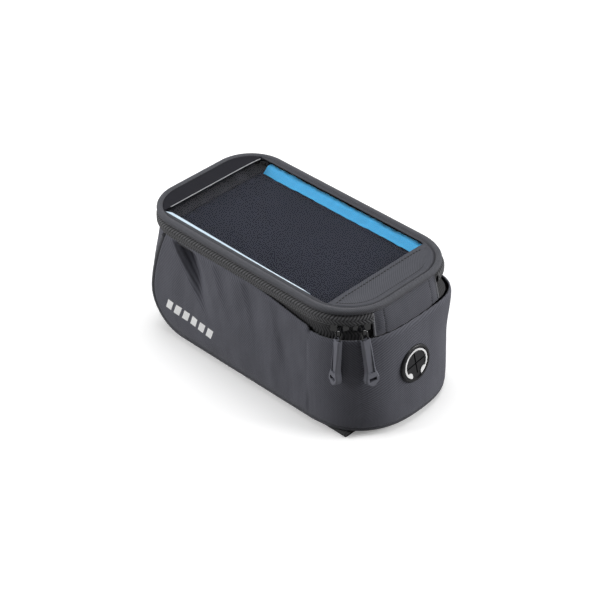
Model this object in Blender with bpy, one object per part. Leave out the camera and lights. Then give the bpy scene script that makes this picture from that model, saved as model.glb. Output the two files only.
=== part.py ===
"""Top tube phone bag for a bicycle.

A soft box of woven fabric under a zipped lid. The lid is a clear pocket that holds a phone, and it
turns on a fabric fold at the rider's end. Two zip sliders with moulded pulls meet at one corner.

Metres. +X points to the rider's end, -Y to the side with the print, +Z up, and the bag stands on z = 0.
"""

from math import asin, atan, atan2, cos, degrees, pi, radians, sin, sqrt

import bmesh
import bpy
from mathutils import Matrix, Vector

# Lid, seen from above
LID_LENGTH = 0.1815
LID_WIDTH = 0.100
LID_NEAR_X = 0.08675
LID_NEAR_RADIUS = 0.034
LID_FAR_RADIUS = 0.028
LID_TOP_Z = 0.0900
LID_PIPING_DIAMETER = 0.0045
LID_PIPING_DROP = 0.0010

# Window and pocket of the lid
WINDOW_SIDE_MARGIN = 0.0070
WINDOW_NEAR_MARGIN = 0.0210
WINDOW_FAR_MARGIN = 0.0125
WINDOW_CORNER_RADIUS = 0.008
WINDOW_LAP = 0.0019
WINDOW_THICKNESS = 0.0005
FRAME_THICKNESS = 0.0012
FRAME_DROP = 0.0009
NEAR_PANEL_THICKNESS = 0.0008
NEAR_PANEL_LAP = 0.0012
POCKET_DEPTH = 0.0060
BACKING_THICKNESS = 0.0016
ELASTIC_WIDTH = 0.0090
ELASTIC_RIBS = 30
ELASTIC_RIB_DEPTH = 0.0004
ELASTIC_INSET = 0.0060
SIDE_STRIP_WIDTH = 0.0076
SIDE_STRIP_HEIGHT = 0.0036
SIDE_STRIP_BEVEL = 0.0008
SIDE_STRIP_LAP = 0.0006
SIDE_STRIP_NEAR_END = 0.0030
SIDE_STRIP_FAR_END = 0.0110

# Zip: heights of its parts and how far they lie inside the lid's edge
TAPE_INSET = 0.0032
TAPE_THICKNESS = 0.0010
UPPER_TAPE_HEIGHT = 0.00645
TAPE_LAP = 0.0015
TAPE_CLEARANCE = 0.0015
COIL_INSET = 0.0026
COIL_DEPTH = 0.0022
COIL_HEIGHT = 0.0011
CHAIN_PARTING = 0.0012
CHAIN_DROP = 0.0119

# Sliders and pulls
SLIDER_A_ANGLE = -54.5
SLIDER_B_ANGLE = -31.5
SLIDER_LENGTH = 0.0108
SLIDER_HEIGHT = 0.0062
SLIDER_PLATE = 0.0011
SLIDER_CLEARANCE = 0.0007
SLIDER_SHAPE = (0.90, 1.0, 1.0, 0.96, 0.86, 0.66, 0.42)
SLIDER_REAR_SHARE = 0.82
SLIDER_EDGE = 0.00035
POST_SHARE = 0.35
POST_PLACE_SHARE = 0.45
LUG_LENGTH = 0.0016
LUG_HEIGHT = 0.0034
LUG_REACH = 0.0054
LUG_BEVEL = 0.0004
LUG_BORE_SHARE = 0.75
WIRE_DIAMETER = 0.0011
WIRE_SPACING = 0.0036
WIRE_BEND = 0.0007
WIRE_DROP = 0.0054
WIRE_SOCKET = 0.0036
PULL_A_LEAN = 3.4
PULL_B_LEAN = 9.0
PULL_A_TILT = -2.5
PULL_B_TILT = 6.5
PULL_A_TURN = -52.0
PULL_B_TURN = 18.0
PULL_LENGTH = 0.0310
PULL_HEAD_THICKNESS = 0.0031
PULL_END_THICKNESS = 0.0044
PULL_HEAD_WIDTH = 0.0060
PULL_WAIST_WIDTH = 0.0064
PULL_END_WIDTH = 0.0098
PULL_WAIST_SHARE = 0.40
PULL_FLARE_SHARE = 0.66
PULL_FLARE_RUN = 0.22
PULL_ROUND_SHARE = 0.88
PULL_TIP_SHARE = 0.01
PULL_STATIONS = 14
PULL_SLOT_LENGTH = 0.0052
PULL_SLOT_WIDTH = 0.0022
PULL_PANEL_DEPTH = 0.0005
PULL_PANEL_LENGTH = 0.0180
PULL_PANEL_DROP = 0.0134
PULL_RIM = 0.0012
PULL_EDGE = 0.0008
PULL_SLOT_DROP = 0.0268

# Fold that the lid turns on
HINGE_WIDTH = 0.0532
HINGE_DROP = 0.0199
HINGE_THICKNESS = 0.0016
HINGE_INSET = 0.0015
BINDING_WIDTH = 0.0010
BINDING_PROUD = 0.0004

# Body
LID_OVERHANG = 0.0015
WALL_THICKNESS = 0.0015
WALL_TOP_DROP = 0.0145
WALL_TOP_GAP = 0.00045
WALL_TOP_FALL_X = -0.030
WALL_TOP_FALL_LENGTH = 0.080
WALL_TOP_REACH = 0.0033
BASE_REACH = 0.01055
PRINT_SIDE_POWERS = (2.4, 2.3)
OTHER_SIDE_POWERS = (3.2, 2.6)
FRONT_TOP_INSET = 0.0015
FRONT_BULGE = 0.00205
FRONT_POWER = 2.5
SEAM_TURN_TOP = 24.0
SEAM_TURN = 75.0
SEAM_TOP_SETBACK = 0.01925
SEAM_BULGE_SETBACK = 0.00675
SEAM_TOP_INSET = 0.0014
SEAM_INSET = 0.0011
SEAM_CURVE = 1.6
FRONT_BEND_RADIUS = 0.0255
BODY_PIPING_DIAMETER = 0.0038
BODY_PIPING_DROP = 0.0032
BASE_Z = 0.0044
BASE_INSET = 0.0009
SIDE_BULGE = 0.0012
SIDE_BULGE_LENGTH = 0.140
TUCK_LENGTH = 0.0120

# Crease pressed into the side with the print
CREASE_START = (-0.0655, 0.0760)
CREASE_END = (-0.0380, 0.0400)
CREASE_HALF_WIDTH = 0.0062
CREASE_DEPTH = 0.0036
CREASE_FADE = 0.0130
CREASE_END_SHARE = 0.75

# Earphone grommet
GROMMET_Z = 0.0400
GROMMET_DIAMETER = 0.0250
GROMMET_FACE_DIAMETER = 0.0212
GROMMET_NECK_DIAMETER = 0.0190
GROMMET_PROUD = 0.0024
GROMMET_RECESS = 0.0008
GROMMET_SEAT = 0.0004
GROMMET_ROUND = 0.0012
GROMMET_TUBE_WALL = 0.0014
GROMMET_TUBE_REACH = 0.0022
GROMMET_BORE_DEPTH = 0.0120
WASHER_BACK = 0.0008
WASHER_THICKNESS = 0.0010
GROMMET_SLIT = 0.0010
GROMMET_SLIT_LENGTH = 0.0150
SIGN_RADIUS = 0.0093
SIGN_LINE = 0.0012
SIGN_THICKNESS = 0.0004
SIGN_OPENING = 48.0
SIGN_STEPS = 44
EAR_PAD_WIDTH = 0.0032
EAR_PAD_LENGTH = 0.0056

# Base board and straps
BOARD_INSET = 0.0070
BOARD_THICKNESS = 0.0018
STRAP_WIDTH = 0.0240
STRAP_LENGTH = 0.0910
STRAP_HEIGHT = 0.0030
STRAP_SLIT = 0.0006
REAR_STRAP_X = 0.0680
FRONT_STRAP_X = -0.0400
ANCHOR_LENGTH = 0.0340
ANCHOR_THICKNESS = 0.0009
ANCHOR_INSET = 0.0020

# Clearance between pieces that touch
GAP = 0.0003
SEAM_GAP = 0.0001

# Facets
ARC_STEPS = 9
SIDE_STEPS = 12
ROUND_STEPS = 28
CORNER_STEPS = 5

# Values that follow from the ones above
HALF_LID = LID_WIDTH / 2
LID_FAR_X = LID_NEAR_X - LID_LENGTH
CHAIN_Z = LID_TOP_Z - CHAIN_DROP
HINGE_Z = LID_TOP_Z - HINGE_DROP
WALL_TOP_FAR_Z = LID_TOP_Z - WALL_TOP_DROP
WALL_TOP_NEAR_X = LID_NEAR_X + WALL_TOP_REACH
BASE_NEAR_X = LID_NEAR_X + BASE_REACH
FRONT_BULGE_X = LID_FAR_X - FRONT_BULGE
SEAM_TOP_X = LID_FAR_X + SEAM_TOP_SETBACK
SEAM_BULGE_X = LID_FAR_X + SEAM_BULGE_SETBACK
MIDDLE = Vector((0, 0, LID_TOP_Z / 2))
NEAR_CENTRE = Vector((LID_NEAR_X - LID_NEAR_RADIUS, HALF_LID - LID_NEAR_RADIUS))
FAR_CENTRE = Vector((LID_FAR_X + LID_FAR_RADIUS, HALF_LID - LID_FAR_RADIUS))
LID_PIPING_RADIUS = LID_PIPING_DIAMETER / 2
LID_PIPING_Z = LID_TOP_Z - LID_PIPING_DROP
BODY_PIPING_RADIUS = BODY_PIPING_DIAMETER / 2
HALF_BODY = HALF_LID - LID_OVERHANG
SEAM_REACH = BODY_PIPING_RADIUS + GAP
PIPING_PROUD = SEAM_REACH * cos(radians(SEAM_TURN))
PIPING_Z = BASE_Z + PIPING_PROUD
BEND_CENTRE_X = SEAM_BULGE_X + FRONT_BEND_RADIUS
BEND_CENTRE_Z = PIPING_Z + FRONT_BEND_RADIUS
WALL_TOP_NEAR_Z = HINGE_Z - WALL_TOP_GAP
WALL_BOTTOM_Z = PIPING_Z + SEAM_REACH
UNDER_PIPING_Z = LID_PIPING_Z - LID_PIPING_RADIUS - GAP
UPPER_TAPE_BOTTOM_Z = UNDER_PIPING_Z - UPPER_TAPE_HEIGHT
UPPER_COIL_Z = CHAIN_Z + CHAIN_PARTING / 2
LOWER_COIL_Z = CHAIN_Z - CHAIN_PARTING / 2 - COIL_HEIGHT
LOWER_TAPE_TOP_Z = LOWER_COIL_Z - GAP
FRAME_TOP_Z = LID_TOP_Z - FRAME_DROP
FRONT_TOP_X = LID_FAR_X + FRONT_TOP_INSET
WINDOW_BOTTOM_Z = FRAME_TOP_Z + GAP
NEAR_PANEL_BOTTOM_Z = WINDOW_BOTTOM_Z + WINDOW_THICKNESS + GAP
FRAME_INSET = LID_PIPING_DIAMETER + GAP
BACKING_TOP_Z = WINDOW_BOTTOM_Z - POCKET_DEPTH - GAP
BACKING_INSET = TAPE_INSET + TAPE_THICKNESS + GAP
WINDOW_NEAR_X = LID_NEAR_X - WINDOW_NEAR_MARGIN
WINDOW_FAR_X = LID_FAR_X + WINDOW_FAR_MARGIN
HALF_WINDOW = HALF_LID - WINDOW_SIDE_MARGIN
HALF_HINGE = HINGE_WIDTH / 2
ZIP_START_ANGLE = degrees(
    asin((HALF_HINGE + BINDING_WIDTH + GAP - NEAR_CENTRE.y) / (LID_NEAR_RADIUS - COIL_INSET - COIL_DEPTH))
)
COIL_START_ANGLE = -(SLIDER_A_ANGLE + SLIDER_B_ANGLE) / 2


def mix(a, b, t):
    return a + (b - a) * t


def ease(t):
    t = max(0.0, min(1.0, t))
    return t * t * (3 - 2 * t)


def finish(name, colour, roughness, metallic=0.0, coat=0.0, see_through=0.0):
    """A plain finish with the colour as the piece shows it."""
    material = bpy.data.materials.new(name)
    material.use_nodes = True
    shader = material.node_tree.nodes["Principled BSDF"]
    shader.inputs["Base Color"].default_value = (*colour, 1.0)
    shader.inputs["Roughness"].default_value = roughness
    shader.inputs["Metallic"].default_value = metallic
    shader.inputs["Coat Weight"].default_value = coat
    shader.inputs["Transmission Weight"].default_value = see_through
    material.diffuse_color = (*colour, 1.0)
    return material


def add(name, data, material, parent=None):
    data.materials.append(material)
    piece = bpy.data.objects.new(name, data)
    bpy.context.scene.collection.objects.link(piece)
    piece.parent = parent
    return piece


def close(bm, name, material, parent=None, smooth=35):
    """Turns a closed bmesh into a piece, with its faces outward and its round parts shaded smooth."""
    bmesh.ops.recalc_face_normals(bm, faces=bm.faces[:])
    mesh = bpy.data.meshes.new(name)
    bm.to_mesh(mesh)
    bm.free()
    mesh.shade_smooth()
    mesh.set_sharp_from_angle(angle=radians(smooth))
    return add(name, mesh, material, parent)


def loft(name, sections, material, looped=False, parent=None):
    """A solid through sections with the same number of points, capped unless it closes on itself."""
    bm = bmesh.new()
    rings = [[bm.verts.new(point) for point in section] for section in sections]
    following = rings[1:] + (rings[:1] if looped else [])
    for ring, after in zip(rings, following):
        for i, corner in enumerate(ring):
            j = (i + 1) % len(ring)
            bm.faces.new((corner, ring[j], after[j], after[i]))
    if not looped:
        bm.faces.new(rings[0])
        bm.faces.new(rings[-1])
    return close(bm, name, material, parent)


def sheet(name, rows, thickness, material, middle, parent=None):
    """A grid of points given its thickness on the side of the middle."""
    bm = bmesh.new()
    grid = [[bm.verts.new(point) for point in row] for row in rows]
    for row, after in zip(grid, grid[1:]):
        for i in range(len(row) - 1):
            bm.faces.new((row[i], row[i + 1], after[i + 1], after[i]))
    bm.normal_update()
    outward = sum((face.calc_center_median() - middle).dot(face.normal) for face in bm.faces)
    if outward < 0:
        bmesh.ops.reverse_faces(bm, faces=bm.faces[:])
    mesh = bpy.data.meshes.new(name)
    bm.to_mesh(mesh)
    bm.free()
    mesh.shade_smooth()
    piece = add(name, mesh, material, parent)
    wall = piece.modifiers.new("thickness", "SOLIDIFY")
    wall.thickness = thickness
    wall.offset = -1.0
    wall.use_even_offset = True
    return piece


def plate(name, outline, bottom, thickness, material, hole=None, parent=None):
    """A flat piece cut to an outline, with an optional hole that has its own outline."""
    bm = bmesh.new()
    loops = []
    for points in filter(None, (outline, hole)):
        corners = [bm.verts.new((x, y, bottom)) for x, y in points]
        loops.append([bm.edges.new(pair) for pair in zip(corners, corners[1:] + corners[:1])])
    if hole:
        bmesh.ops.bridge_loops(bm, edges=loops[0] + loops[1])
    else:
        bmesh.ops.contextual_create(bm, geom=loops[0])
    grown = bmesh.ops.extrude_face_region(bm, geom=bm.faces[:])
    raised = [item for item in grown["geom"] if isinstance(item, bmesh.types.BMVert)]
    bmesh.ops.translate(bm, vec=(0, 0, thickness), verts=raised)
    return close(bm, name, material, parent)


def tube(name, points, diameter, material, cyclic=False, sides=2, parent=None):
    """A round cord along a run of points."""
    curve = bpy.data.curves.new(name, "CURVE")
    curve.dimensions = "3D"
    curve.bevel_depth = diameter / 2
    curve.bevel_resolution = sides
    curve.use_fill_caps = not cyclic
    spline = curve.splines.new("POLY")
    spline.points.add(len(points) - 1)
    for point, place in zip(spline.points, points):
        point.co = (*place, 1.0)
    spline.use_cyclic_u = cyclic
    spline.use_smooth = True
    return add(name, curve, material, parent)


def helper(piece):
    """A solid that only cuts or joins, so it isn't drawn."""
    piece.hide_render = True
    piece.display_type = "WIRE"
    return piece


def soften(piece, width):
    """Rounds a piece's sharp edges."""
    bevel = piece.modifiers.new("soft edges", "BEVEL")
    bevel.width = width
    bevel.segments = 2
    bevel.limit_method = "ANGLE"


def combine(piece, other, operation):
    step = piece.modifiers.new(other.name, "BOOLEAN")
    step.operation = operation
    step.object = helper(other)
    step.solver = "EXACT"


def pivot(name, place):
    empty = bpy.data.objects.new(name, None)
    empty.location = place
    bpy.context.scene.collection.objects.link(empty)
    bpy.context.view_layer.update()
    return empty


def seat(piece, parent):
    """Puts a piece that was made in place under a pivot, where it stays."""
    piece.parent = parent
    piece.matrix_parent_inverse = parent.matrix_world.inverted()


def corner(centre, radius, first, last, steps):
    return [
        centre + radius * Vector((cos(radians(a)), sin(radians(a))))
        for a in (mix(first, last, k / steps) for k in range(steps + 1))
    ]


def lid_half(inset, start):
    """Half of the lid's edge on the -Y side, from an angle on the near corner to the far end's middle."""
    near = corner(Vector((NEAR_CENTRE.x, -NEAR_CENTRE.y)), LID_NEAR_RADIUS - inset, -start, -90, ARC_STEPS)
    far = corner(Vector((FAR_CENTRE.x, -FAR_CENTRE.y)), LID_FAR_RADIUS - inset, -90, -180, ARC_STEPS)
    side = [near[-1].lerp(far[0], k / SIDE_STEPS) for k in range(1, SIDE_STEPS)]
    return near + side + far


def lid_edge(inset, start=0.0):
    """The lid's edge moved inwards, from the near end round by the -Y side and back by the +Y side."""
    half = lid_half(inset, start)
    return half + [Vector((p.x, -p.y)) for p in reversed(half)]


def lid_y(x, inset):
    """Half width of the lid's edge at x."""
    if x > NEAR_CENTRE.x:
        return NEAR_CENTRE.y + sqrt((LID_NEAR_RADIUS - inset) ** 2 - (x - NEAR_CENTRE.x) ** 2)
    if x < FAR_CENTRE.x:
        return FAR_CENTRE.y + sqrt((LID_FAR_RADIUS - inset) ** 2 - (x - FAR_CENTRE.x) ** 2)
    return HALF_LID - inset


def lid_cut(inset, far=None, near=None):
    """The lid's edge moved inwards and cut straight across at its far or near end."""
    half = [p for p in lid_half(inset, 0.0) if (far is None or p.x > far) and (near is None or p.x < near)]
    if near is not None:
        half.insert(0, Vector((near, -lid_y(near, inset))))
    if far is not None:
        half.append(Vector((far, -lid_y(far, inset))))
    return half + [Vector((p.x, -p.y)) for p in reversed(half)]


def window_outline():
    """The window's round-cornered opening, in the order of lid_edge."""
    near, far = WINDOW_NEAR_X - WINDOW_CORNER_RADIUS, WINDOW_FAR_X + WINDOW_CORNER_RADIUS
    y = HALF_WINDOW - WINDOW_CORNER_RADIUS
    points = []
    for x, y, first in ((near, -y, 0), (far, -y, -90), (far, y, -180), (near, y, -270)):
        points += corner(Vector((x, y)), WINDOW_CORNER_RADIUS, first, first - 90, CORNER_STEPS)
    return points


def superellipse(reach, half_width, power, y):
    """How far a rounded end stands out at y."""
    return reach * max(0.0, 1 - min(1.0, abs(y) / half_width) ** power) ** (1 / power)


def drop_share(z):
    """0 at the top of the near wall, 1 at its foot."""
    return max(0.0, min(1.0, (WALL_TOP_NEAR_Z - z) / (WALL_TOP_NEAR_Z - WALL_BOTTOM_Z)))


def near_power(y, z):
    """How square the near corners are: softer on the side with the print."""
    return mix(*(PRINT_SIDE_POWERS if y < 0 else OTHER_SIDE_POWERS), drop_share(z))


def near_x(y, z, inset=0.0):
    reach = mix(WALL_TOP_NEAR_X, BASE_NEAR_X, drop_share(z)) - NEAR_CENTRE.x - inset
    return NEAR_CENTRE.x + superellipse(reach, HALF_BODY - inset, near_power(y, z), y)


def bulge_share(z):
    """0 at the top of the front panel, 1 where it bulges most."""
    return ease((WALL_TOP_FAR_Z - z) / (WALL_TOP_FAR_Z - BEND_CENTRE_Z))


def seam_x(z):
    """The seam between side and front, above the bend into the base."""
    rise = max(0.0, (z - BEND_CENTRE_Z) / (WALL_TOP_FAR_Z - BEND_CENTRE_Z))
    return mix(SEAM_BULGE_X, SEAM_TOP_X, rise**SEAM_CURVE)


def seam_y(z):
    return HALF_BODY - mix(SEAM_TOP_INSET, SEAM_INSET, bulge_share(z))


def front_edge(z):
    """Edge of the front panel beside the seam's piping: (x, y) on the +Y side."""
    turn = radians(mix(SEAM_TURN_TOP, SEAM_TURN, bulge_share(z)))
    return seam_x(z) - SEAM_REACH * cos(turn), seam_y(z) - SEAM_REACH * sin(turn)


def front_reach(z):
    """How far the middle of the front panel stands out past its edges."""
    return front_edge(z)[0] - mix(FRONT_TOP_X, FRONT_BULGE_X, bulge_share(z))


def wall_top(x):
    return mix(WALL_TOP_FAR_Z, WALL_TOP_NEAR_Z, ease((x - WALL_TOP_FALL_X) / WALL_TOP_FALL_LENGTH))


def crease(x, z):
    """Depth of the diagonal crease at a place on the printed side."""
    start, end = Vector(CREASE_START), Vector(CREASE_END)
    along = end - start
    share = max(0.0, min(1.0, (Vector((x, z)) - start).dot(along) / along.length_squared))
    away = (Vector((x, z)) - start - along * share).length / CREASE_HALF_WIDTH
    depth = CREASE_DEPTH * ease((wall_top(x) - z) / CREASE_FADE)
    return depth * (1 - CREASE_END_SHARE * share) / (1 + away * away) ** 2


def side_y(x, z, front):
    """How far the side wall stands out; it tucks in towards the seam and swells a little at mid height."""
    tuck_x = FAR_CENTRE.x + TUCK_LENGTH
    tuck = max(0.0, (tuck_x - x) / (tuck_x - front))
    edge = seam_y(z) + PIPING_PROUD
    height = (z - WALL_BOTTOM_Z) / (WALL_TOP_FAR_Z - WALL_BOTTOM_Z)
    swell = SIDE_BULGE * sin(pi * max(0.0, min(1.0, height))) * sin(pi * ease((x - front) / SIDE_BULGE_LENGTH))
    return mix(HALF_BODY, edge, ease(tuck)) + swell


def wall_rows():
    """Heights of the side wall's rows at the front seam, with the front edge's x, from the top down."""
    upper, lower = 7, 6
    rows = []
    for k in range(upper):
        z = mix(WALL_TOP_FAR_Z, BEND_CENTRE_Z, k / upper)
        rows.append((seam_x(z) + SEAM_REACH, z))
    radius = FRONT_BEND_RADIUS - SEAM_REACH
    for k in range(lower + 1):
        a = pi / 2 * k / lower
        rows.append((BEND_CENTRE_X - radius * cos(a), BEND_CENTRE_Z - radius * sin(a)))
    return rows


def side_wall(material):
    """One band of fabric: the printed side, the near end and the other side, with a hole for the grommet."""
    sides, ends = 16, 9
    rows = []
    for front, level in wall_rows():
        share = (WALL_TOP_FAR_Z - level) / (WALL_TOP_FAR_Z - WALL_BOTTOM_Z)
        left, right = [], []
        for k in range(sides):
            x = mix(front, NEAR_CENTRE.x, k / sides)
            z = mix(wall_top(x), WALL_BOTTOM_Z, share)
            out = side_y(x, z, front)
            left.append(Vector((x, -out + crease(x, z), z)))
            right.append(Vector((x, out, z)))
        z = mix(WALL_TOP_NEAR_Z, WALL_BOTTOM_Z, share)
        end = []
        for k in range(-ends, ends + 1):
            turn = pi / 2 * k / ends
            side = 1 if k > 0 else -1
            y = side * HALF_BODY * abs(sin(turn)) ** (2 / near_power(side, z))
            end.append(Vector((near_x(y, z), y, z)))
        rows.append(left + end + right[::-1])
    wall = sheet("side_wall", rows, WALL_THICKNESS, material, MIDDLE)
    combine(wall, grommet_bore(), "DIFFERENCE")
    return wall


def grommet_frame():
    """Place and turn of the grommet: its axis stands square to the leaning near wall."""
    lean = atan2(BASE_NEAR_X - WALL_TOP_NEAR_X, WALL_TOP_NEAR_Z - WALL_BOTTOM_Z)
    place = Vector((near_x(0, GROMMET_Z), 0, GROMMET_Z))
    return Matrix.Translation(place) @ Matrix.Rotation(pi / 2 - lean, 4, "Y")


def turned(name, profile, material, frame):
    """A turned ring or disc from a closed profile of (radius, height) points, which may touch its axis."""
    bm = bmesh.new()
    corners = [bm.verts.new((r, 0, h)) for r, h in profile]
    edges = [bm.edges.new(pair) for pair in zip(corners, corners[1:] + corners[:1]) if pair[0].co.x or pair[1].co.x]
    bmesh.ops.spin(
        bm, geom=corners + edges, axis=(0, 0, 1), cent=(0, 0, 0), angle=2 * pi, steps=ROUND_STEPS, use_merge=True
    )
    bmesh.ops.remove_doubles(bm, verts=bm.verts[:], dist=1e-6)
    bm.transform(frame)
    return close(bm, name, material)


def disc(name, radius, bottom, top, frame, material, steps=ROUND_STEPS):
    bm = bmesh.new()
    place = frame @ Matrix.Translation((0, 0, (bottom + top) / 2))
    bmesh.ops.create_cone(
        bm, cap_ends=True, segments=steps, radius1=radius, radius2=radius, depth=top - bottom, matrix=place
    )
    return close(bm, name, material)


def bar(name, size, place, frame, material):
    bm = bmesh.new()
    scale = Matrix.Diagonal((*size, 1.0))
    bmesh.ops.create_cube(bm, size=1.0, matrix=frame @ Matrix.Translation(place) @ scale)
    return close(bm, name, material)


def grommet_bore():
    half = GROMMET_BORE_DEPTH / 2
    return disc("grommet_bore", GROMMET_NECK_DIAMETER / 2 + GAP, -half, half, grommet_frame(), CUT)


def grommet(rubber, white):
    """Rubber grommet with a raised rim, a slit face and a neck through the wall; washer and sign apart."""
    frame = grommet_frame()
    outer, neck, face = GROMMET_DIAMETER / 2, GROMMET_NECK_DIAMETER / 2, GROMMET_FACE_DIAMETER / 2
    back = -WALL_THICKNESS - GROMMET_TUBE_REACH
    floor = GROMMET_PROUD - GROMMET_RECESS
    rim = [
        (outer - GROMMET_ROUND * (1 - cos(a)), GROMMET_PROUD - GROMMET_ROUND * (1 - sin(a)))
        for a in (radians(0), radians(30), radians(60), radians(90))
    ]
    profile = [
        (outer, GROMMET_SEAT),
        *rim,
        (face, GROMMET_PROUD),
        (face, floor),
        (0.0, floor),
        (0.0, GROMMET_SEAT),
        (neck - GROMMET_TUBE_WALL, GROMMET_SEAT),
        (neck - GROMMET_TUBE_WALL, back),
        (neck, back),
        (neck, GROMMET_SEAT),
    ]
    body = turned("earphone_grommet", profile, rubber, frame)
    for k, turn in enumerate((8, 98)):
        cutter = bar(
            f"grommet_slit_{k}",
            (GROMMET_SLIT, GROMMET_SLIT_LENGTH, 2 * GROMMET_PROUD),
            (0, 0, GROMMET_PROUD),
            frame @ Matrix.Rotation(radians(turn), 4, "Z"),
            CUT,
        )
        combine(body, cutter, "DIFFERENCE")
    top = -WALL_THICKNESS - WASHER_BACK - GAP
    bottom = top - WASHER_THICKNESS
    inner = neck + GAP
    turned("grommet_washer", [(outer, top), (outer, bottom), (inner, bottom), (inner, top)], rubber, frame)
    headphone_sign(frame, floor + SEAM_GAP, white)


def headphone_sign(frame, height, material):
    """Raised white ring, open at the bottom, with an ear pad at each end."""
    first, last = -90 + SIGN_OPENING / 2, 270 - SIGN_OPENING / 2
    step_length = radians(last - first) * SIGN_RADIUS / SIGN_STEPS
    sections = []
    for k in range(SIGN_STEPS + 1):
        a = radians(mix(first, last, k / SIGN_STEPS))
        from_middle = min(k, SIGN_STEPS - k) * step_length / (EAR_PAD_LENGTH / 2) - 1
        pad = EAR_PAD_WIDTH * sqrt(max(0.0, 1 - from_middle**2))
        inner = SIGN_RADIUS + SIGN_LINE / 2 - max(SIGN_LINE, pad)
        ring = []
        for r, h in (
            (inner, 0),
            (SIGN_RADIUS + SIGN_LINE / 2, 0),
            (SIGN_RADIUS + SIGN_LINE / 2, SIGN_THICKNESS),
            (inner, SIGN_THICKNESS),
        ):
            # the frame's x axis points down the wall, so the ring's top lies towards -x
            ring.append(frame @ Vector((-r * sin(a), r * cos(a), height + h)))
        sections.append(ring)
    loft("headphone_sign", sections, material)


def front_column(t):
    """Crown and width of the front panel at t, from -1 to 1: round like the lid above, softly bowed below."""
    side = 1 if t > 0 else -1
    edge_x, edge_y = front_edge(WALL_TOP_FAR_Z)
    radius = LID_FAR_RADIUS - HALF_LID + HALF_BODY
    last = atan2(sqrt(radius**2 - (FAR_CENTRE.x - edge_x) ** 2), FAR_CENTRE.x - edge_x)
    run = abs(t) * (FAR_CENTRE.y + radius * last)
    if run <= FAR_CENTRE.y:
        x, y = FAR_CENTRE.x - radius, run
    else:
        turn = (run - FAR_CENTRE.y) / radius
        x, y = FAR_CENTRE.x - radius * cos(turn), FAR_CENTRE.y + radius * sin(turn)
    end_y = FAR_CENTRE.y + radius * sin(last)
    crown = (edge_x - x) / (edge_x - FAR_CENTRE.x + radius)
    bow = abs(cos(pi / 2 * t)) ** (2 / FRONT_POWER)
    return crown, side * y / end_y, bow, side * abs(sin(pi / 2 * t)) ** (2 / FRONT_POWER)


def front_base_panel(material):
    """One panel down the front, round the bend and under the bag to the near end."""
    columns = [front_column(k / 7) for k in range(-7, 8)]
    rows = []
    for k in range(7):
        z = mix(WALL_TOP_FAR_Z, BEND_CENTRE_Z, k / 7)
        edge_x, edge_y = front_edge(z)
        reach, share = front_reach(z), bulge_share(z)
        rows.append(
            [
                Vector((edge_x - reach * mix(crown_a, crown_b, share), edge_y * mix(across_a, across_b, share), z))
                for crown_a, across_a, crown_b, across_b in columns
            ]
        )
    edge_x, half = front_edge(BEND_CENTRE_Z)
    across = [column[3] for column in columns]
    seam_radius = BEND_CENTRE_X - edge_x
    reach = front_reach(BEND_CENTRE_Z)
    bend = 8
    for k in range(bend + 1):
        a = pi / 2 * k / bend
        z = BEND_CENTRE_Z - seam_radius * sin(a)
        rows.append(
            [
                Vector((BEND_CENTRE_X - (seam_radius + reach * crown) * cos(a), half * t, z))
                for _, _, crown, t in columns
            ]
        )
    runs = 7
    inset = BASE_INSET + SEAM_REACH
    for k in range(1, runs + 1):
        row = []
        for t in across:
            end = near_x((HALF_BODY - inset) * t, WALL_BOTTOM_Z, inset)
            row.append(Vector((mix(BEND_CENTRE_X, end, k / runs), half * t, BASE_Z)))
        rows.append(row)
    return sheet("front_base_panel", rows, WALL_THICKNESS, material, MIDDLE)


def body_piping(material):
    """One piping from the front's top corner down the seam, round the base and up the other seam."""
    side = []
    top = LOWER_TAPE_TOP_Z - BODY_PIPING_DROP
    for k in range(8):
        z = mix(top, BEND_CENTRE_Z, k / 8)
        side.append(Vector((seam_x(z), -seam_y(z), z)))
    for k in range(8):
        a = pi / 2 * k / 7
        x = BEND_CENTRE_X - FRONT_BEND_RADIUS * cos(a)
        side.append(Vector((x, -seam_y(BEND_CENTRE_Z), BEND_CENTRE_Z - FRONT_BEND_RADIUS * sin(a))))
    edge = HALF_BODY - BASE_INSET
    for k in range(1, 8):
        share = k / 8
        y = mix(seam_y(BEND_CENTRE_Z), edge, share)
        side.append(Vector((mix(BEND_CENTRE_X, NEAR_CENTRE.x, share), -y, PIPING_Z)))
    steps = 11
    for k in range(steps):
        side.append(base_place(-1, pi / 2 * k / steps))
    other = [Vector((p.x, -p.y, p.z)) for p in side[:-steps]]
    other += [base_place(1, pi / 2 * k / steps) for k in range(steps)]
    return tube("body_piping", side + [base_place(1, pi / 2)] + other[::-1], BODY_PIPING_DIAMETER, material)


def base_place(side, turn):
    """The base piping's middle on the near end, from a corner's start at turn 0 to the end's middle."""
    y = side * (HALF_BODY - BASE_INSET) * cos(turn) ** (2 / near_power(side, WALL_BOTTOM_Z))
    return Vector((near_x(y, WALL_BOTTOM_Z, BASE_INSET), y, PIPING_Z))


def band(name, outer, inner, outer_low, inner_low, material, parent=None):
    """A strip on edge between four runs of points."""
    sections = list(zip(outer, inner, inner_low, outer_low))
    return loft(name, sections, material, parent=parent)


def at_height(points, z):
    return [Vector((p.x, p.y, z)) for p in points]


def strip_on_edge(name, inset, depth, bottom, height, start, material):
    outer, inner = lid_edge(inset, start), lid_edge(inset + depth, start)
    return band(
        name,
        at_height(outer, bottom + height),
        at_height(inner, bottom + height),
        at_height(outer, bottom),
        at_height(inner, bottom),
        material,
    )


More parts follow.
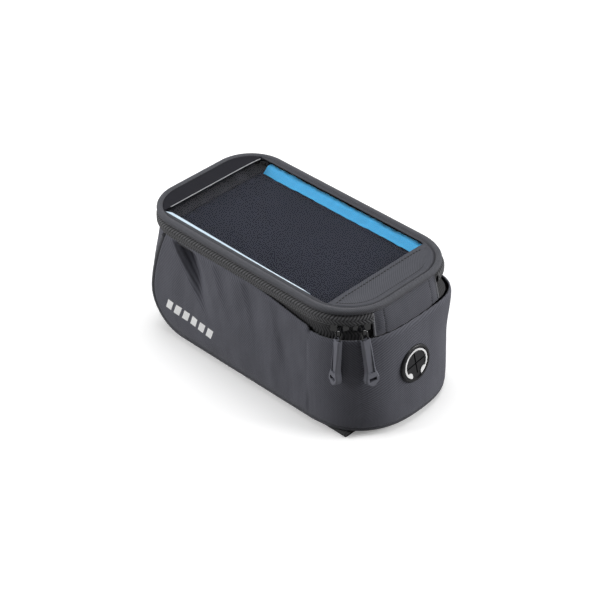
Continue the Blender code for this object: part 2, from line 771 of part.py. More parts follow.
def tape_foot(p, deep):
    """The place inside the top of the walls that lies below a place on the upper tape."""
    half = HALF_BODY - deep
    z = wall_top(p.x) - TAPE_LAP
    if p.x > NEAR_CENTRE.x:
        y = p.y * half / (HALF_LID - TAPE_INSET)
        return Vector((near_x(y, z, deep), y, z))
    side = 1 if p.y > 0 else -1
    if p.x > FAR_CENTRE.x:
        return Vector((p.x, side * half, z))
    away = Vector((p.x - FAR_CENTRE.x, max(0.0, abs(p.y) - FAR_CENTRE.y)))
    away *= (LID_FAR_RADIUS - HALF_LID + half) / (LID_FAR_RADIUS - TAPE_INSET)
    return Vector((FAR_CENTRE.x + away.x, side * (min(abs(p.y), FAR_CENTRE.y) + away.y), z))


def lower_tape(material):
    """Hangs from the lower coil to just inside the top of the walls."""
    inset = WALL_THICKNESS + TAPE_CLEARANCE
    top_outer = lid_edge(TAPE_INSET, ZIP_START_ANGLE)
    top_inner = lid_edge(TAPE_INSET + TAPE_THICKNESS, ZIP_START_ANGLE)
    lows = []
    for deep in (inset, inset + TAPE_THICKNESS):
        lows.append([tape_foot(p, deep) for p in top_outer])
    return band(
        "lower_zip_tape",
        at_height(top_outer, LOWER_TAPE_TOP_Z),
        at_height(top_inner, LOWER_TAPE_TOP_Z),
        lows[0],
        lows[1],
        material,
    )


def hinge_x(y, z):
    """Outer face of the fold: the lid's edge at its top, the near wall at its foot."""
    if abs(y) <= NEAR_CENTRE.y:
        top = LID_NEAR_X - HINGE_INSET
    else:
        top = NEAR_CENTRE.x + sqrt((LID_NEAR_RADIUS - HINGE_INSET) ** 2 - (abs(y) - NEAR_CENTRE.y) ** 2)
    share = (UNDER_PIPING_Z - z) / (UNDER_PIPING_Z - HINGE_Z)
    return mix(top, near_x(y, WALL_TOP_NEAR_Z), share)


def hinge_panel(fabric, edging):
    levels = [mix(UNDER_PIPING_Z, HINGE_Z + GAP, k / 4) for k in range(5)]
    places = [mix(-HALF_HINGE, HALF_HINGE, k / 10) for k in range(11)]
    rows = [[Vector((hinge_x(y, z), y, z)) for y in places] for z in levels]
    pieces = [sheet("hinge_panel", rows, HINGE_THICKNESS, fabric, MIDDLE)]
    for side, name in ((-1, "hinge_binding_left"), (1, "hinge_binding_right")):
        sections = []
        for z in levels:
            inner, outer = side * (HALF_HINGE + SEAM_GAP), side * (HALF_HINGE + BINDING_WIDTH)
            face = hinge_x(inner, z) + BINDING_PROUD
            back = face - HINGE_THICKNESS - 2 * BINDING_PROUD
            sections.append(
                [Vector((face, inner, z)), Vector((face, outer, z)), Vector((back, outer, z)), Vector((back, inner, z))]
            )
        pieces.append(loft(name, sections, edging))
    return pieces


def ribbed_elastic(material):
    """Elastic along the pocket's mouth, with ribs that run lengthwise."""
    near = WINDOW_FAR_X + ELASTIC_WIDTH
    half = HALF_LID - BACKING_INSET - ELASTIC_INSET
    top = BACKING_TOP_Z
    outline = []
    for k in range(2 * ELASTIC_RIBS + 1):
        y = mix(-half, half, k / (2 * ELASTIC_RIBS))
        outline.append((y, top - (ELASTIC_RIB_DEPTH if k % 2 else 0.0)))
    bottom = top - BACKING_THICKNESS
    outline += [(half, bottom), (-half, bottom)]
    sections = [[Vector((x, y, z)) for y, z in outline] for x in (WINDOW_FAR_X, near - GAP)]
    return loft("pocket_elastic", sections, material)


def lid(fabric, trim, clear, weave, dark, blue, elastic, parent):
    """Everything that turns with the lid."""
    made = [
        tube(
            "lid_piping",
            at_height(lid_edge(LID_PIPING_RADIUS), LID_PIPING_Z),
            LID_PIPING_DIAMETER,
            trim,
            cyclic=True,
        )
    ]
    edge = lid_edge(FRAME_INSET)
    aperture = matched(edge, window_outline())
    made.append(plate("lid_frame", edge, FRAME_TOP_Z - FRAME_THICKNESS, FRAME_THICKNESS, fabric, aperture))
    film = lid_cut(FRAME_INSET + SEAM_GAP, WINDOW_FAR_X - WINDOW_LAP, WINDOW_NEAR_X + WINDOW_LAP)
    made.append(plate("window", film, WINDOW_BOTTOM_Z, WINDOW_THICKNESS, clear))
    panel = lid_cut(FRAME_INSET, far=WINDOW_NEAR_X - NEAR_PANEL_LAP)
    made.append(plate("near_panel", panel, NEAR_PANEL_BOTTOM_Z, NEAR_PANEL_THICKNESS, weave))
    backing = lid_cut(BACKING_INSET, far=WINDOW_FAR_X + ELASTIC_WIDTH)
    made.append(plate("pocket_backing", backing, BACKING_TOP_Z - BACKING_THICKNESS, BACKING_THICKNESS, dark))
    made.append(ribbed_elastic(elastic))
    made.append(side_strip(blue))
    made.append(
        strip_on_edge(
            "upper_zip_tape",
            TAPE_INSET,
            TAPE_THICKNESS,
            UPPER_TAPE_BOTTOM_Z,
            UPPER_TAPE_HEIGHT,
            ZIP_START_ANGLE,
            trim,
        )
    )
    made.append(
        strip_on_edge("upper_coil", COIL_INSET, COIL_DEPTH, UPPER_COIL_Z, COIL_HEIGHT, COIL_START_ANGLE, dark)
    )
    made += hinge_panel(fabric, weave)
    for piece in made:
        seat(piece, parent)


def matched(outer, inner):
    """As many points on the inner loop as on the outer one, each at its neighbour's share of the way round."""
    closed = inner + inner[:1]
    middle = Vector(((inner[0].x + inner[len(inner) // 2].x) / 2, 0))
    found = []
    for point in outer:
        ray = point - middle
        best = None
        for a, b in zip(closed, closed[1:]):
            step = b - a
            cross = ray.x * step.y - ray.y * step.x
            if abs(cross) < 1e-12:
                continue
            offset = a - middle
            along = (offset.x * step.y - offset.y * step.x) / cross
            share = (offset.x * ray.y - offset.y * ray.x) / cross
            if along > 0 and -1e-9 <= share <= 1 + 1e-9:
                best = middle + ray * along
        found.append(best)
    return found


def side_strip(material):
    """Bright lining folded along the pocket's right side."""
    outer = HALF_WINDOW + SIDE_STRIP_LAP
    inner = outer - SIDE_STRIP_WIDTH
    low = BACKING_TOP_Z + GAP
    high = low + SIDE_STRIP_HEIGHT
    soft = SIDE_STRIP_BEVEL
    outline = [
        (inner, low),
        (outer, low),
        (outer, high - soft),
        (outer - soft, high),
        (inner + soft, high),
        (inner, high - soft),
    ]
    ends = (WINDOW_FAR_X + SIDE_STRIP_FAR_END, WINDOW_NEAR_X - SIDE_STRIP_NEAR_END)
    return loft("pocket_side_lining", [[Vector((x, y, z)) for y, z in outline] for x in ends], material)


def arc_place(radius, angle, z):
    a = radians(angle)
    return Vector((NEAR_CENTRE.x + radius * cos(a), -NEAR_CENTRE.y + radius * sin(a), z))


def curved_plate(name, radius, thickness, angle, half_angle, half_heights, material):
    """A plate bent round the near corner, with its height given from tail to nose."""
    last = len(half_heights) - 1
    sections = []
    for k, half in enumerate(half_heights):
        a = mix(angle - half_angle, angle + half_angle, k / last)
        sections.append(
            [
                arc_place(radius, a, CHAIN_Z - half),
                arc_place(radius + thickness, a, CHAIN_Z - half),
                arc_place(radius + thickness, a, CHAIN_Z + half),
                arc_place(radius, a, CHAIN_Z + half),
            ]
        )
    return loft(name, sections, material)


def slider(name, angle, nose, metal):
    """Two plates either side of the chain, joined by a thin post in its parting, with a lug for the pull."""
    coil_outer = LID_NEAR_RADIUS - COIL_INSET
    coil_inner = coil_outer - COIL_DEPTH
    face = coil_outer + SLIDER_CLEARANCE
    back = coil_inner - SLIDER_CLEARANCE - SLIDER_PLATE
    half_angle = degrees(SLIDER_LENGTH / 2 / face)
    half = SLIDER_HEIGHT / 2
    shape = [half * share for share in SLIDER_SHAPE]
    if nose < 0:
        shape.reverse()
    body = curved_plate(name, face, SLIDER_PLATE, angle, half_angle, shape, metal)
    soften(body, SLIDER_EDGE)
    rear = [h * SLIDER_REAR_SHARE for h in shape]
    combine(body, curved_plate(f"{name}_rear", back, SLIDER_PLATE, angle, half_angle, rear, CUT), "UNION")
    post_half = CHAIN_PARTING / 2 - GAP
    post_centre = angle + nose * half_angle * POST_PLACE_SHARE
    post = curved_plate(
        f"{name}_post",
        back + SLIDER_PLATE / 2,
        face - back,
        post_centre,
        half_angle * POST_SHARE,
        [post_half, post_half],
        CUT,
    )
    combine(body, post, "UNION")
    lug = curved_plate(
        f"{name}_lug",
        face + SLIDER_PLATE / 2,
        LUG_REACH + SLIDER_PLATE / 2,
        angle,
        degrees(LUG_LENGTH / 2 / face),
        [LUG_HEIGHT / 2, LUG_HEIGHT / 2],
        CUT,
    )
    soften(lug, LUG_BEVEL)
    combine(body, lug, "UNION")
    bore = disc(
        f"{name}_bore",
        WIRE_DIAMETER / 2 + GAP,
        -LUG_LENGTH,
        LUG_LENGTH,
        Matrix.Translation(pull_place(angle)) @ tangent_turn(angle) @ Matrix.Rotation(pi / 2, 4, "X"),
        CUT,
        steps=12,
    )
    combine(body, bore, "DIFFERENCE")
    return body


def pull_place(angle):
    """The middle of the lug's bore, which the pull swings on."""
    radius = LID_NEAR_RADIUS - COIL_INSET + SLIDER_CLEARANCE + SLIDER_PLATE + LUG_REACH * LUG_BORE_SHARE
    return arc_place(radius, angle, CHAIN_Z)


def tangent_turn(angle):
    """Turns a frame so that its x axis points out of the corner and its y axis along the chain."""
    return Matrix.Rotation(radians(angle), 4, "Z")


def pull_outline():
    """Way down, half width and half thickness of the pull: a waist and a flared round end, thicker downwards."""
    points = []
    round_run = 1 - PULL_ROUND_SHARE + PULL_TIP_SHARE
    for k in range(PULL_STATIONS + 1):
        s = k / PULL_STATIONS
        if s < PULL_FLARE_SHARE:
            half = mix(PULL_HEAD_WIDTH, PULL_WAIST_WIDTH, ease(s / PULL_WAIST_SHARE)) / 2
        else:
            half = mix(PULL_WAIST_WIDTH, PULL_END_WIDTH, ease((s - PULL_FLARE_SHARE) / PULL_FLARE_RUN)) / 2
        if s > PULL_ROUND_SHARE:
            half *= sqrt(1 - ((s - PULL_ROUND_SHARE) / round_run) ** 2)
        points.append((s * PULL_LENGTH, half, mix(PULL_HEAD_THICKNESS, PULL_END_THICKNESS, s) / 2))
    return points


def pull(name, angle, lean, tilt, turn, metal, rubber, parent):
    """A wire staple through the slider's lug, turned on its way down, and the moulded tab that hangs on it."""
    frame = Matrix.Translation(pull_place(angle)) @ tangent_turn(angle) @ Matrix.Rotation(radians(-lean), 4, "Y")
    half = WIRE_SPACING / 2
    bend = WIRE_BEND
    hanging = frame @ Matrix.Rotation(radians(tilt), 4, "X")
    turned_frame = hanging @ Matrix.Translation((0, 0, -WIRE_DROP)) @ Matrix.Rotation(radians(turn), 4, "Z")
    run = []
    for side in (1, -1):
        leg = [turned_frame @ Vector((0, side * half, -WIRE_SOCKET)), turned_frame @ Vector((0, side * half, GAP))]
        for k in range(4):
            a = pi / 2 * k / 4
            leg.append(frame @ Vector((0, side * (half - bend + bend * cos(a)), -bend + bend * sin(a))))
        leg.append(frame @ Vector((0, side * (half - bend), 0)))
        run += leg if side > 0 else reversed(leg)
    wire = tube(f"pull_wire_{name}", run, WIRE_DIAMETER, metal, sides=1)
    sections = []
    for down, wide, half_thick in pull_outline():
        edge = min(PULL_EDGE, wide / 2)
        sections.append(
            [
                turned_frame @ Vector((x, y, -down))
                for x, y in (
                    (half_thick, -wide + edge),
                    (half_thick, wide - edge),
                    (half_thick - edge, wide),
                    (-half_thick + edge, wide),
                    (-half_thick, wide - edge),
                    (-half_thick, -wide + edge),
                    (-half_thick + edge, -wide),
                    (half_thick - edge, -wide),
                )
            ]
        )
    tab = loft(f"pull_tab_{name}", sections, rubber)
    for side in (-1, 1):
        socket_frame = turned_frame @ Matrix.Translation((0, side * half, 0))
        cutter = disc(
            f"pull_socket_{name}_{side}",
            WIRE_DIAMETER / 2 + GAP,
            -WIRE_SOCKET - GAP,
            WIRE_SOCKET,
            socket_frame,
            CUT,
            steps=10,
        )
        combine(tab, cutter, "DIFFERENCE")
    slot = bar(
        f"pull_slot_{name}",
        (2 * PULL_END_THICKNESS, PULL_SLOT_LENGTH, PULL_SLOT_WIDTH),
        (0, 0, -PULL_SLOT_DROP),
        turned_frame,
        CUT,
    )
    combine(tab, slot, "DIFFERENCE")
    growth = (PULL_END_THICKNESS - PULL_HEAD_THICKNESS) / 2 / PULL_LENGTH
    face_x = PULL_HEAD_THICKNESS / 2 + growth * PULL_PANEL_DROP
    for side in (-1, 1):
        face = Matrix.Translation((side * face_x, 0, -PULL_PANEL_DROP)) @ Matrix.Rotation(side * atan(growth), 4, "Y")
        panel = bar(
            f"pull_panel_{name}_{side}",
            (2 * PULL_PANEL_DEPTH, PULL_WAIST_WIDTH - 2 * PULL_RIM, PULL_PANEL_LENGTH),
            (0, 0, 0),
            turned_frame @ face,
            CUT,
        )
        combine(tab, panel, "DIFFERENCE")
    for piece in (wire, tab):
        seat(piece, parent)


def base_board(material):
    """Stiff board that keeps the base flat, inside the bag."""
    half = HALF_BODY - BOARD_INSET
    near = []
    steps = 12
    for k in range(steps + 1):
        y = -half * cos(pi * k / steps)
        near.append(Vector((near_x(y, WALL_BOTTOM_Z, BOARD_INSET), y)))
    far = [Vector((BEND_CENTRE_X, half)), Vector((BEND_CENTRE_X, -half))]
    plate("base_board", near + far, BASE_Z + WALL_THICKNESS + GAP, BOARD_THICKNESS, material)


def strap(name, centre_x, webbing):
    """Hook and loop strap, folded flat on itself under the base, and the patch that is sewn to the base."""
    high = STRAP_HEIGHT / 2
    reach = STRAP_LENGTH / 2 - high
    outline = []
    for side in (1, -1):
        for k in range(5):
            a = pi * k / 4
            outline.append((side * (reach + high * sin(a)), high + side * high * cos(a)))
    ends = (centre_x - STRAP_WIDTH / 2, centre_x + STRAP_WIDTH / 2)
    folded = loft(name, [[Vector((x, y, z)) for y, z in outline] for x in ends], webbing)
    slit = bar(
        f"{name}_slit", (2 * STRAP_WIDTH, 2 * reach, STRAP_SLIT), (centre_x, 0, high), Matrix.Identity(4), CUT
    )
    combine(folded, slit, "DIFFERENCE")
    size = (STRAP_WIDTH - 2 * ANCHOR_INSET, ANCHOR_LENGTH, ANCHOR_THICKNESS)
    middle = (centre_x, 0, STRAP_HEIGHT + GAP + ANCHOR_THICKNESS / 2)
    bar(f"{name}_patch", size, middle, Matrix.Identity(4), webbing)


for startup_object in list(bpy.data.objects):
    bpy.data.objects.remove(startup_object)

CUT = finish("cutter", (0.8, 0.2, 0.2), 0.5)
twill = finish("dark grey twill", (0.058, 0.060, 0.070), 0.78)
panel_weave = finish("fine grey weave", (0.085, 0.088, 0.100), 0.62)
black_trim = finish("black trim", (0.022, 0.022, 0.024), 0.65)
navy = finish("navy lining", (0.012, 0.014, 0.024), 0.70)
blue = finish("bright blue lining", (0.080, 0.520, 0.940), 0.55)
pvc = finish("clear window film", (0.95, 0.97, 1.0), 0.06, coat=0.2, see_through=1.0)
black_metal = finish("black enamelled metal", (0.010, 0.010, 0.011), 0.18, metallic=0.6, coat=0.5)
grey_rubber = finish("grey moulded rubber", (0.160, 0.165, 0.185), 0.50)
black_rubber = finish("black rubber", (0.015, 0.015, 0.016), 0.42)
white_print = finish("white print", (0.90, 0.90, 0.90), 0.45)
black_webbing = finish("black webbing", (0.016, 0.016, 0.018), 0.80)
board = finish("black plastic board", (0.030, 0.030, 0.032), 0.55)

side_wall(twill)
front_base_panel(twill)
body_piping(black_trim)
lower_tape(black_trim)
strip_on_edge("lower_coil", COIL_INSET, COIL_DEPTH, LOWER_COIL_Z, COIL_HEIGHT, ZIP_START_ANGLE, navy)
grommet(black_rubber, white_print)
base_board(board)
strap("rear_strap", REAR_STRAP_X, black_webbing)
strap("front_strap", FRONT_STRAP_X, black_webbing)

lid_axis = pivot("lid_axis", (near_x(0, WALL_TOP_NEAR_Z), 0, HINGE_Z))
lid(twill, black_trim, pvc, panel_weave, navy, blue, black_trim, lid_axis)

corner_axis = (NEAR_CENTRE.x, -NEAR_CENTRE.y, CHAIN_Z)
for letter, place, nose, lean, tilt, turn in (
    ("a", SLIDER_A_ANGLE, 1, PULL_A_LEAN, PULL_A_TILT, PULL_A_TURN),
    ("b", SLIDER_B_ANGLE, -1, PULL_B_LEAN, PULL_B_TILT, PULL_B_TURN),
):
    slider_axis = pivot(f"slider_axis_{letter}", corner_axis)
    seat(slider(f"slider_{letter}", place, nose, black_metal), slider_axis)
    pull_axis = pivot(f"pull_axis_{letter}", pull_place(place))
    seat(pull_axis, slider_axis)
    bpy.context.view_layer.update()
    pull(letter, place, lean, tilt, turn, black_metal, grey_rubber, pull_axis)
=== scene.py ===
"""Looks of the top tube phone bag: sewn cloth, zip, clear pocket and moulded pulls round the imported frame.

Metres. +X points to the rider's end, -Y to the side with the print, +Z up.
"""

from math import atan2, cos, pi, radians, sin, sqrt

import bmesh
import bpy
from mathutils import Matrix, Vector, noise
from mathutils.bvhtree import BVHTree


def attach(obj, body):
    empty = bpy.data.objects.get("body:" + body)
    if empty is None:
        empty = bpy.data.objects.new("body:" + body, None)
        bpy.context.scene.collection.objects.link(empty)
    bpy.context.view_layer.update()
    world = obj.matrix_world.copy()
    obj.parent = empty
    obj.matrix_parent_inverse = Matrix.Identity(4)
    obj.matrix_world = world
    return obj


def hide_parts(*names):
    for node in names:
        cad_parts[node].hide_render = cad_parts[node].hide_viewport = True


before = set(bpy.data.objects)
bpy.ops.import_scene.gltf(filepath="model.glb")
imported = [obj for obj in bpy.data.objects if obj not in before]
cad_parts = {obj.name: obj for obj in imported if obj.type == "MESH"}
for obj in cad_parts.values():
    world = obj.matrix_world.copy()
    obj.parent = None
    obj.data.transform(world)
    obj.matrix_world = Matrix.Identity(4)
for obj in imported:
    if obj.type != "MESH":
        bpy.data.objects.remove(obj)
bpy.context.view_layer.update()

# Camera of the photograph
CAMERA_PLACE = (0.68295, -0.70800, 0.77180)
CAMERA_AZIMUTH = 44.04
CAMERA_ELEVATION = 36.71
CAMERA_LENS = 117.14

# Lid's edge, seen from above
LID_NEAR_X = 0.08675
LID_FAR_X = -0.09475
HALF_LID = 0.050
NEAR_RADIUS = 0.034
FAR_RADIUS = 0.028
LID_TOP = 0.0900
WELT_RADIUS = 0.0022
WELT_INSET = 0.0025
WELT_Z = 0.0892

# Window, pocket and fold
WINDOW_NEAR_X = 0.06575
WINDOW_FAR_X = -0.08225
HALF_WINDOW = 0.043
WINDOW_ROUND = 0.008
HEM_INSET = 0.0045
CORNER_FLARE = 0.0030
EDGE_FLARE_SHARE = 0.6
FAR_PANEL_X = -0.0777
PANEL_X = 0.0618
PANEL_SEAM_X = 0.0652
PANEL_RIM_SEAM = 0.0084
LINING_Z = 0.0831
HALF_FOLD = 0.0266
FOLD_Z = 0.0701
FOLD_INSET = 0.0015
FOLD_SEAM = 0.0066
UNDER_WELT_Z = 0.0870

# Zip
TAPE_INSET = 0.0032
UPPER_TAPE_Z = (0.0784, 0.0846)
LOWER_TAPE_Z = (0.0758, 0.0777)
TOOTH_PITCH = 0.0015
TEETH_INSET = 0.0041

# Walls
HALF_BODY = 0.0485
WALL_TOP_FAR_Z = 0.0787
WALL_TOP_NEAR_Z = 0.06965
WALL_NEAR_X = (0.09005, 0.0973)
PRINT_SIDE_POWER = (2.4, 2.3)
OTHER_SIDE_POWER = (3.2, 2.6)
WALL = 0.0011
SEAM_REACH = 0.0014
PIPING_RADIUS = 0.0019
PIPING_Z = 0.00497
WALL_BOTTOM_Z = PIPING_Z + SEAM_REACH
BASE_Z = 0.0044
SEAM_X = (-0.0855, -0.0722)
SEAM_INSET = (0.0014, 0.0011)
SEAM_TURN = (24.0, 75.0)
SEAM_TOP_Z = 0.0762
BASE_SEAM_INSET = 0.0009
FRONT_X = (-0.09325, -0.0968)
FRONT_POWER = 2.7
BEND_RADIUS = 0.0255
GROMMET_Z = 0.040
GROMMET_HOLE = 0.0099

# Folds in the printed side: ridge's top and foot as (x, z), width of the steep and of the soft side, depth
WALL_FOLDS = (
    ((-0.0700, 0.0830), (-0.0400, 0.0400), 0.0065, 0.0190, 0.0080),
    ((-0.0300, 0.0800), (-0.0180, 0.0480), 0.0060, 0.0160, 0.0011),
    ((-0.0050, 0.0780), (0.0060, 0.0400), 0.0060, 0.0140, 0.0012),
    ((0.0200, 0.0740), (0.0300, 0.0300), 0.0060, 0.0120, 0.0009),
)

# Straps
STRAP_X = (0.0680, -0.0400)
STRAP_WIDTH = 0.0240
STRAP_REACH = 0.0440
STRAP_HALF = 0.0015

# Flat size of the long band of wall cloth, and where it turns at the near corners
BAND = (0.4286, 0.0708)
BAND_SIDE = 0.1408
BAND_TURNS = (0.178, 0.2506)

# Values that follow from the ones above
NEAR_CENTRE = Vector((LID_NEAR_X - NEAR_RADIUS, HALF_LID - NEAR_RADIUS))
FAR_CENTRE = Vector((LID_FAR_X + FAR_RADIUS, HALF_LID - FAR_RADIUS))
NEAR_ARC = NEAR_RADIUS * pi / 2
FAR_ARC = FAR_RADIUS * pi / 2
SIDE_RUN = NEAR_CENTRE.x - FAR_CENTRE.x
WINDOW_MIDDLE_X = (WINDOW_NEAR_X + WINDOW_FAR_X) / 2
HALF_ROUND = NEAR_CENTRE.y + NEAR_ARC + SIDE_RUN + FAR_ARC + FAR_CENTRE.y
BEND_X = SEAM_X[0] + BEND_RADIUS
BEND_Z = PIPING_Z + BEND_RADIUS


def mix(a, b, t):
    return a + (b - a) * t


def ease(t):
    t = max(0.0, min(1.0, t))
    return t * t * (3 - 2 * t)


# ---------------------------------------------------------------- camera, light and floor


def set_camera():
    data = bpy.data.cameras.new("camera")
    data.lens = CAMERA_LENS
    data.sensor_width = 36.0
    camera = bpy.data.objects.new("camera", data)
    camera.location = CAMERA_PLACE
    camera.rotation_euler = (radians(90 - CAMERA_ELEVATION), 0, radians(CAMERA_AZIMUTH))
    bpy.context.scene.collection.objects.link(camera)
    bpy.context.scene.camera = camera


def soft_lamp(name, place, aim, size, power):
    data = bpy.data.lights.new(name, "AREA")
    data.shape = "RECTANGLE"
    data.size, data.size_y = size
    data.energy = power
    lamp = bpy.data.objects.new(name, data)
    lamp.location = place
    lamp.rotation_euler = (Vector(place) - Vector(aim)).to_track_quat("Z", "Y").to_euler()
    bpy.context.scene.collection.objects.link(lamp)


def white_where_seen(tree, shader, lit):
    """White for the camera and for glass, and a plain level for the light that falls on the bag."""
    path = tree.nodes.new("ShaderNodeLightPath")
    seen = value(tree, "MAXIMUM", path.outputs["Is Camera Ray"], path.outputs["Is Transmission Ray"])
    tree.links.new(value(tree, "MULTIPLY_ADD", seen, 1.0 - lit, lit), shader.inputs["Strength"])


def set_studio():
    scene = bpy.context.scene
    scene.view_settings.view_transform = "Standard"
    world = bpy.data.worlds.new("studio")
    scene.world = world
    world.use_nodes = True
    back = world.node_tree.nodes["Background"]
    back.inputs["Color"].default_value = (1, 1, 1, 1)
    white_where_seen(world.node_tree, back, 0.10)
    scene.cycles.caustics_refractive = False
    scene.cycles.caustics_reflective = False
    soft_lamp("left", (-1.05, -1.00, 0.65), (0, 0, 0.04), (0.9, 0.7), 20.0)
    soft_lamp("right", (1.05, 0.95, 0.65), (0, 0, 0.04), (0.9, 0.7), 20.0)
    soft_lamp("top", (-0.15, 0.20, 1.40), (0, 0, 0.05), (1.1, 0.9), 13.0)


def set_floor():
    bm = bmesh.new()
    bmesh.ops.create_grid(bm, x_segments=1, y_segments=1, size=3.0)
    floor = link_mesh("floor", bm)
    material, shader = new_material("white floor")
    tree = material.node_tree
    seen = tree.nodes.new("ShaderNodeLightPath").outputs["Is Camera Ray"]
    tree.links.new(colour_mix(tree, seen, (0.32, 0.32, 0.32), (0.97, 0.97, 0.97)), shader.inputs["Base Color"])
    shader.inputs["Roughness"].default_value = 0.9
    shader.inputs["Specular IOR Level"].default_value = 0.0
    shader.inputs["Emission Color"].default_value = (1, 1, 1, 1)
    tree.links.new(value(tree, "MULTIPLY", seen, 0.20), shader.inputs["Emission Strength"])
    floor.data.materials.append(material)


# ---------------------------------------------------------------- shader helpers


def new_material(name):
    material = bpy.data.materials.new(name)
    material.use_nodes = True
    return material, material.node_tree.nodes["Principled BSDF"]


def node(tree, kind, inputs=None, **settings):
    made = tree.nodes.new(kind)
    for key, setting in settings.items():
        setattr(made, key, setting)
    for key, source in (inputs or {}).items():
        if isinstance(source, bpy.types.NodeSocket):
            tree.links.new(source, made.inputs[key])
        else:
            made.inputs[key].default_value = source
    return made


def value(tree, operation, *sources):
    """One step of arithmetic on numbers or sockets."""
    return node(tree, "ShaderNodeMath", dict(enumerate(sources)), operation=operation).outputs[0]


def new_group(name, inputs, outputs):
    tree = bpy.data.node_groups.new(name, "ShaderNodeTree")
    for label, kind, default in inputs:
        socket = tree.interface.new_socket(label, in_out="INPUT", socket_type=kind)
        if default is not None:
            socket.default_value = default
    for label in outputs:
        tree.interface.new_socket(label, in_out="OUTPUT", socket_type="NodeSocketFloat")
    return tree, tree.nodes.new("NodeGroupInput").outputs, tree.nodes.new("NodeGroupOutput").inputs


def cloud(tree, place, scale, detail=2.0):
    """Soft noise around a half."""
    inputs = {"Vector": place, "Scale": scale, "Detail": detail}
    return node(tree, "ShaderNodeTexNoise", inputs).outputs[0]


def wave(tree, turns):
    """A smooth wave from 0 to 1 for each whole turn."""
    swing = value(tree, "SINE", value(tree, "MULTIPLY", turns, 2 * pi))
    return value(tree, "MULTIPLY_ADD", swing, 0.5, 0.5)


def twill_group():
    """Slanted ribs with finer threads across them, for cloth laid out in metres."""
    tree, given, out = new_group(
        "twill weave",
        (
            ("Place", "NodeSocketVector", None),
            ("Rib", "NodeSocketFloat", 0.0012),
            ("Slant", "NodeSocketFloat", 0.4),
            ("Uneven", "NodeSocketFloat", 0.25),
        ),
        ("Height", "Thread", "Shade"),
    )
    axes = node(tree, "ShaderNodeSeparateXYZ", {0: given["Place"]}).outputs
    wobble = cloud(tree, given["Place"], 260.0, 3.0)
    across = value(tree, "MULTIPLY_ADD", axes[0], given["Slant"], axes[1])
    turns = value(tree, "DIVIDE", across, given["Rib"])
    turns = value(tree, "MULTIPLY_ADD", wobble, given["Uneven"], turns)
    rib = wave(tree, turns)
    along = value(tree, "MULTIPLY_ADD", axes[1], value(tree, "MULTIPLY", given["Slant"], -1.0), axes[0])
    thread = wave(tree, value(tree, "DIVIDE", along, value(tree, "MULTIPLY", given["Rib"], 0.62)))
    crown = value(tree, "POWER", rib, 0.7)
    height = value(tree, "MULTIPLY", crown, value(tree, "MULTIPLY_ADD", thread, 0.28, 0.72))
    tree.links.new(height, out["Height"])
    tree.links.new(thread, out["Thread"])
    long = node(tree, "ShaderNodeMapping", {"Vector": given["Place"], "Scale": (1.0, 0.08, 1.0)}).outputs[0]
    streak = cloud(tree, long, 420.0, 3.0)
    broad = cloud(tree, given["Place"], 34.0, 5.0)
    tree.links.new(value(tree, "MULTIPLY_ADD", streak, 0.6, value(tree, "MULTIPLY", broad, 0.4)), out["Shade"])
    return tree


def herringbone_group():
    """Ribs that turn back in every row, as on a woven zip tape laid out in metres."""
    tree, given, out = new_group(
        "herringbone weave",
        (
            ("Place", "NodeSocketVector", None),
            ("Rib", "NodeSocketFloat", 0.0017),
            ("Row", "NodeSocketFloat", 0.0024),
        ),
        ("Height", "Groove"),
    )
    axes = node(tree, "ShaderNodeSeparateXYZ", {0: given["Place"]}).outputs
    zigzag = value(tree, "PINGPONG", axes[1], given["Row"])
    wobble = cloud(tree, given["Place"], 300.0, 2.0)
    turns = value(tree, "DIVIDE", value(tree, "MULTIPLY_ADD", zigzag, 0.8, axes[0]), given["Rib"])
    rib = wave(tree, value(tree, "MULTIPLY_ADD", wobble, 0.25, turns))
    fold = value(tree, "PINGPONG", axes[1], value(tree, "MULTIPLY", given["Row"], 0.5))
    groove = value(tree, "DIVIDE", fold, value(tree, "MULTIPLY", given["Row"], 0.5))
    tree.links.new(value(tree, "POWER", rib, 0.8), out["Height"])
    tree.links.new(groove, out["Groove"])
    return tree


def grain_group():
    """Fine dimples, scuffs and dust for moulded and painted pieces."""
    tree, given, out = new_group(
        "moulded grain",
        (
            ("Place", "NodeSocketVector", None),
            ("Size", "NodeSocketFloat", 0.0004),
            ("Dust", "NodeSocketFloat", 0.5),
        ),
        ("Height", "Scuff", "Dust"),
    )
    scale = value(tree, "DIVIDE", 1.0, given["Size"])
    dimple = node(tree, "ShaderNodeTexVoronoi", {"Vector": given["Place"], "Scale": scale}).outputs["Distance"]
    scuff = cloud(tree, given["Place"], 240.0, 6.0)
    speck = cloud(tree, given["Place"], 900.0, 2.0)
    tree.links.new(dimple, out["Height"])
    tree.links.new(scuff, out["Scuff"])
    dusty = value(tree, "GREATER_THAN", speck, 0.76)
    tree.links.new(value(tree, "MULTIPLY", dusty, given["Dust"]), out["Dust"])
    return tree


def colour_mix(tree, factor, dark, light):
    made = node(tree, "ShaderNodeMix", data_type="RGBA")
    for socket, source in zip((made.inputs[0], made.inputs[6], made.inputs[7]), (factor, dark, light)):
        if isinstance(source, bpy.types.NodeSocket):
            tree.links.new(source, socket)
        elif isinstance(source, tuple):
            socket.default_value = (*source, 1.0)
        else:
            socket.default_value = source
    return made.outputs[2]


def bump(tree, shader, height, distance, strength=1.0):
    made = node(tree, "ShaderNodeBump", {"Height": height, "Distance": distance, "Strength": strength})
    tree.links.new(made.outputs[0], shader.inputs["Normal"])


def place_of(tree, uv):
    source = node(tree, "ShaderNodeTexCoord")
    return source.outputs["UV" if uv else "Object"]


def use_group(tree, group, **inputs):
    return node(tree, "ShaderNodeGroup", inputs, node_tree=group).outputs


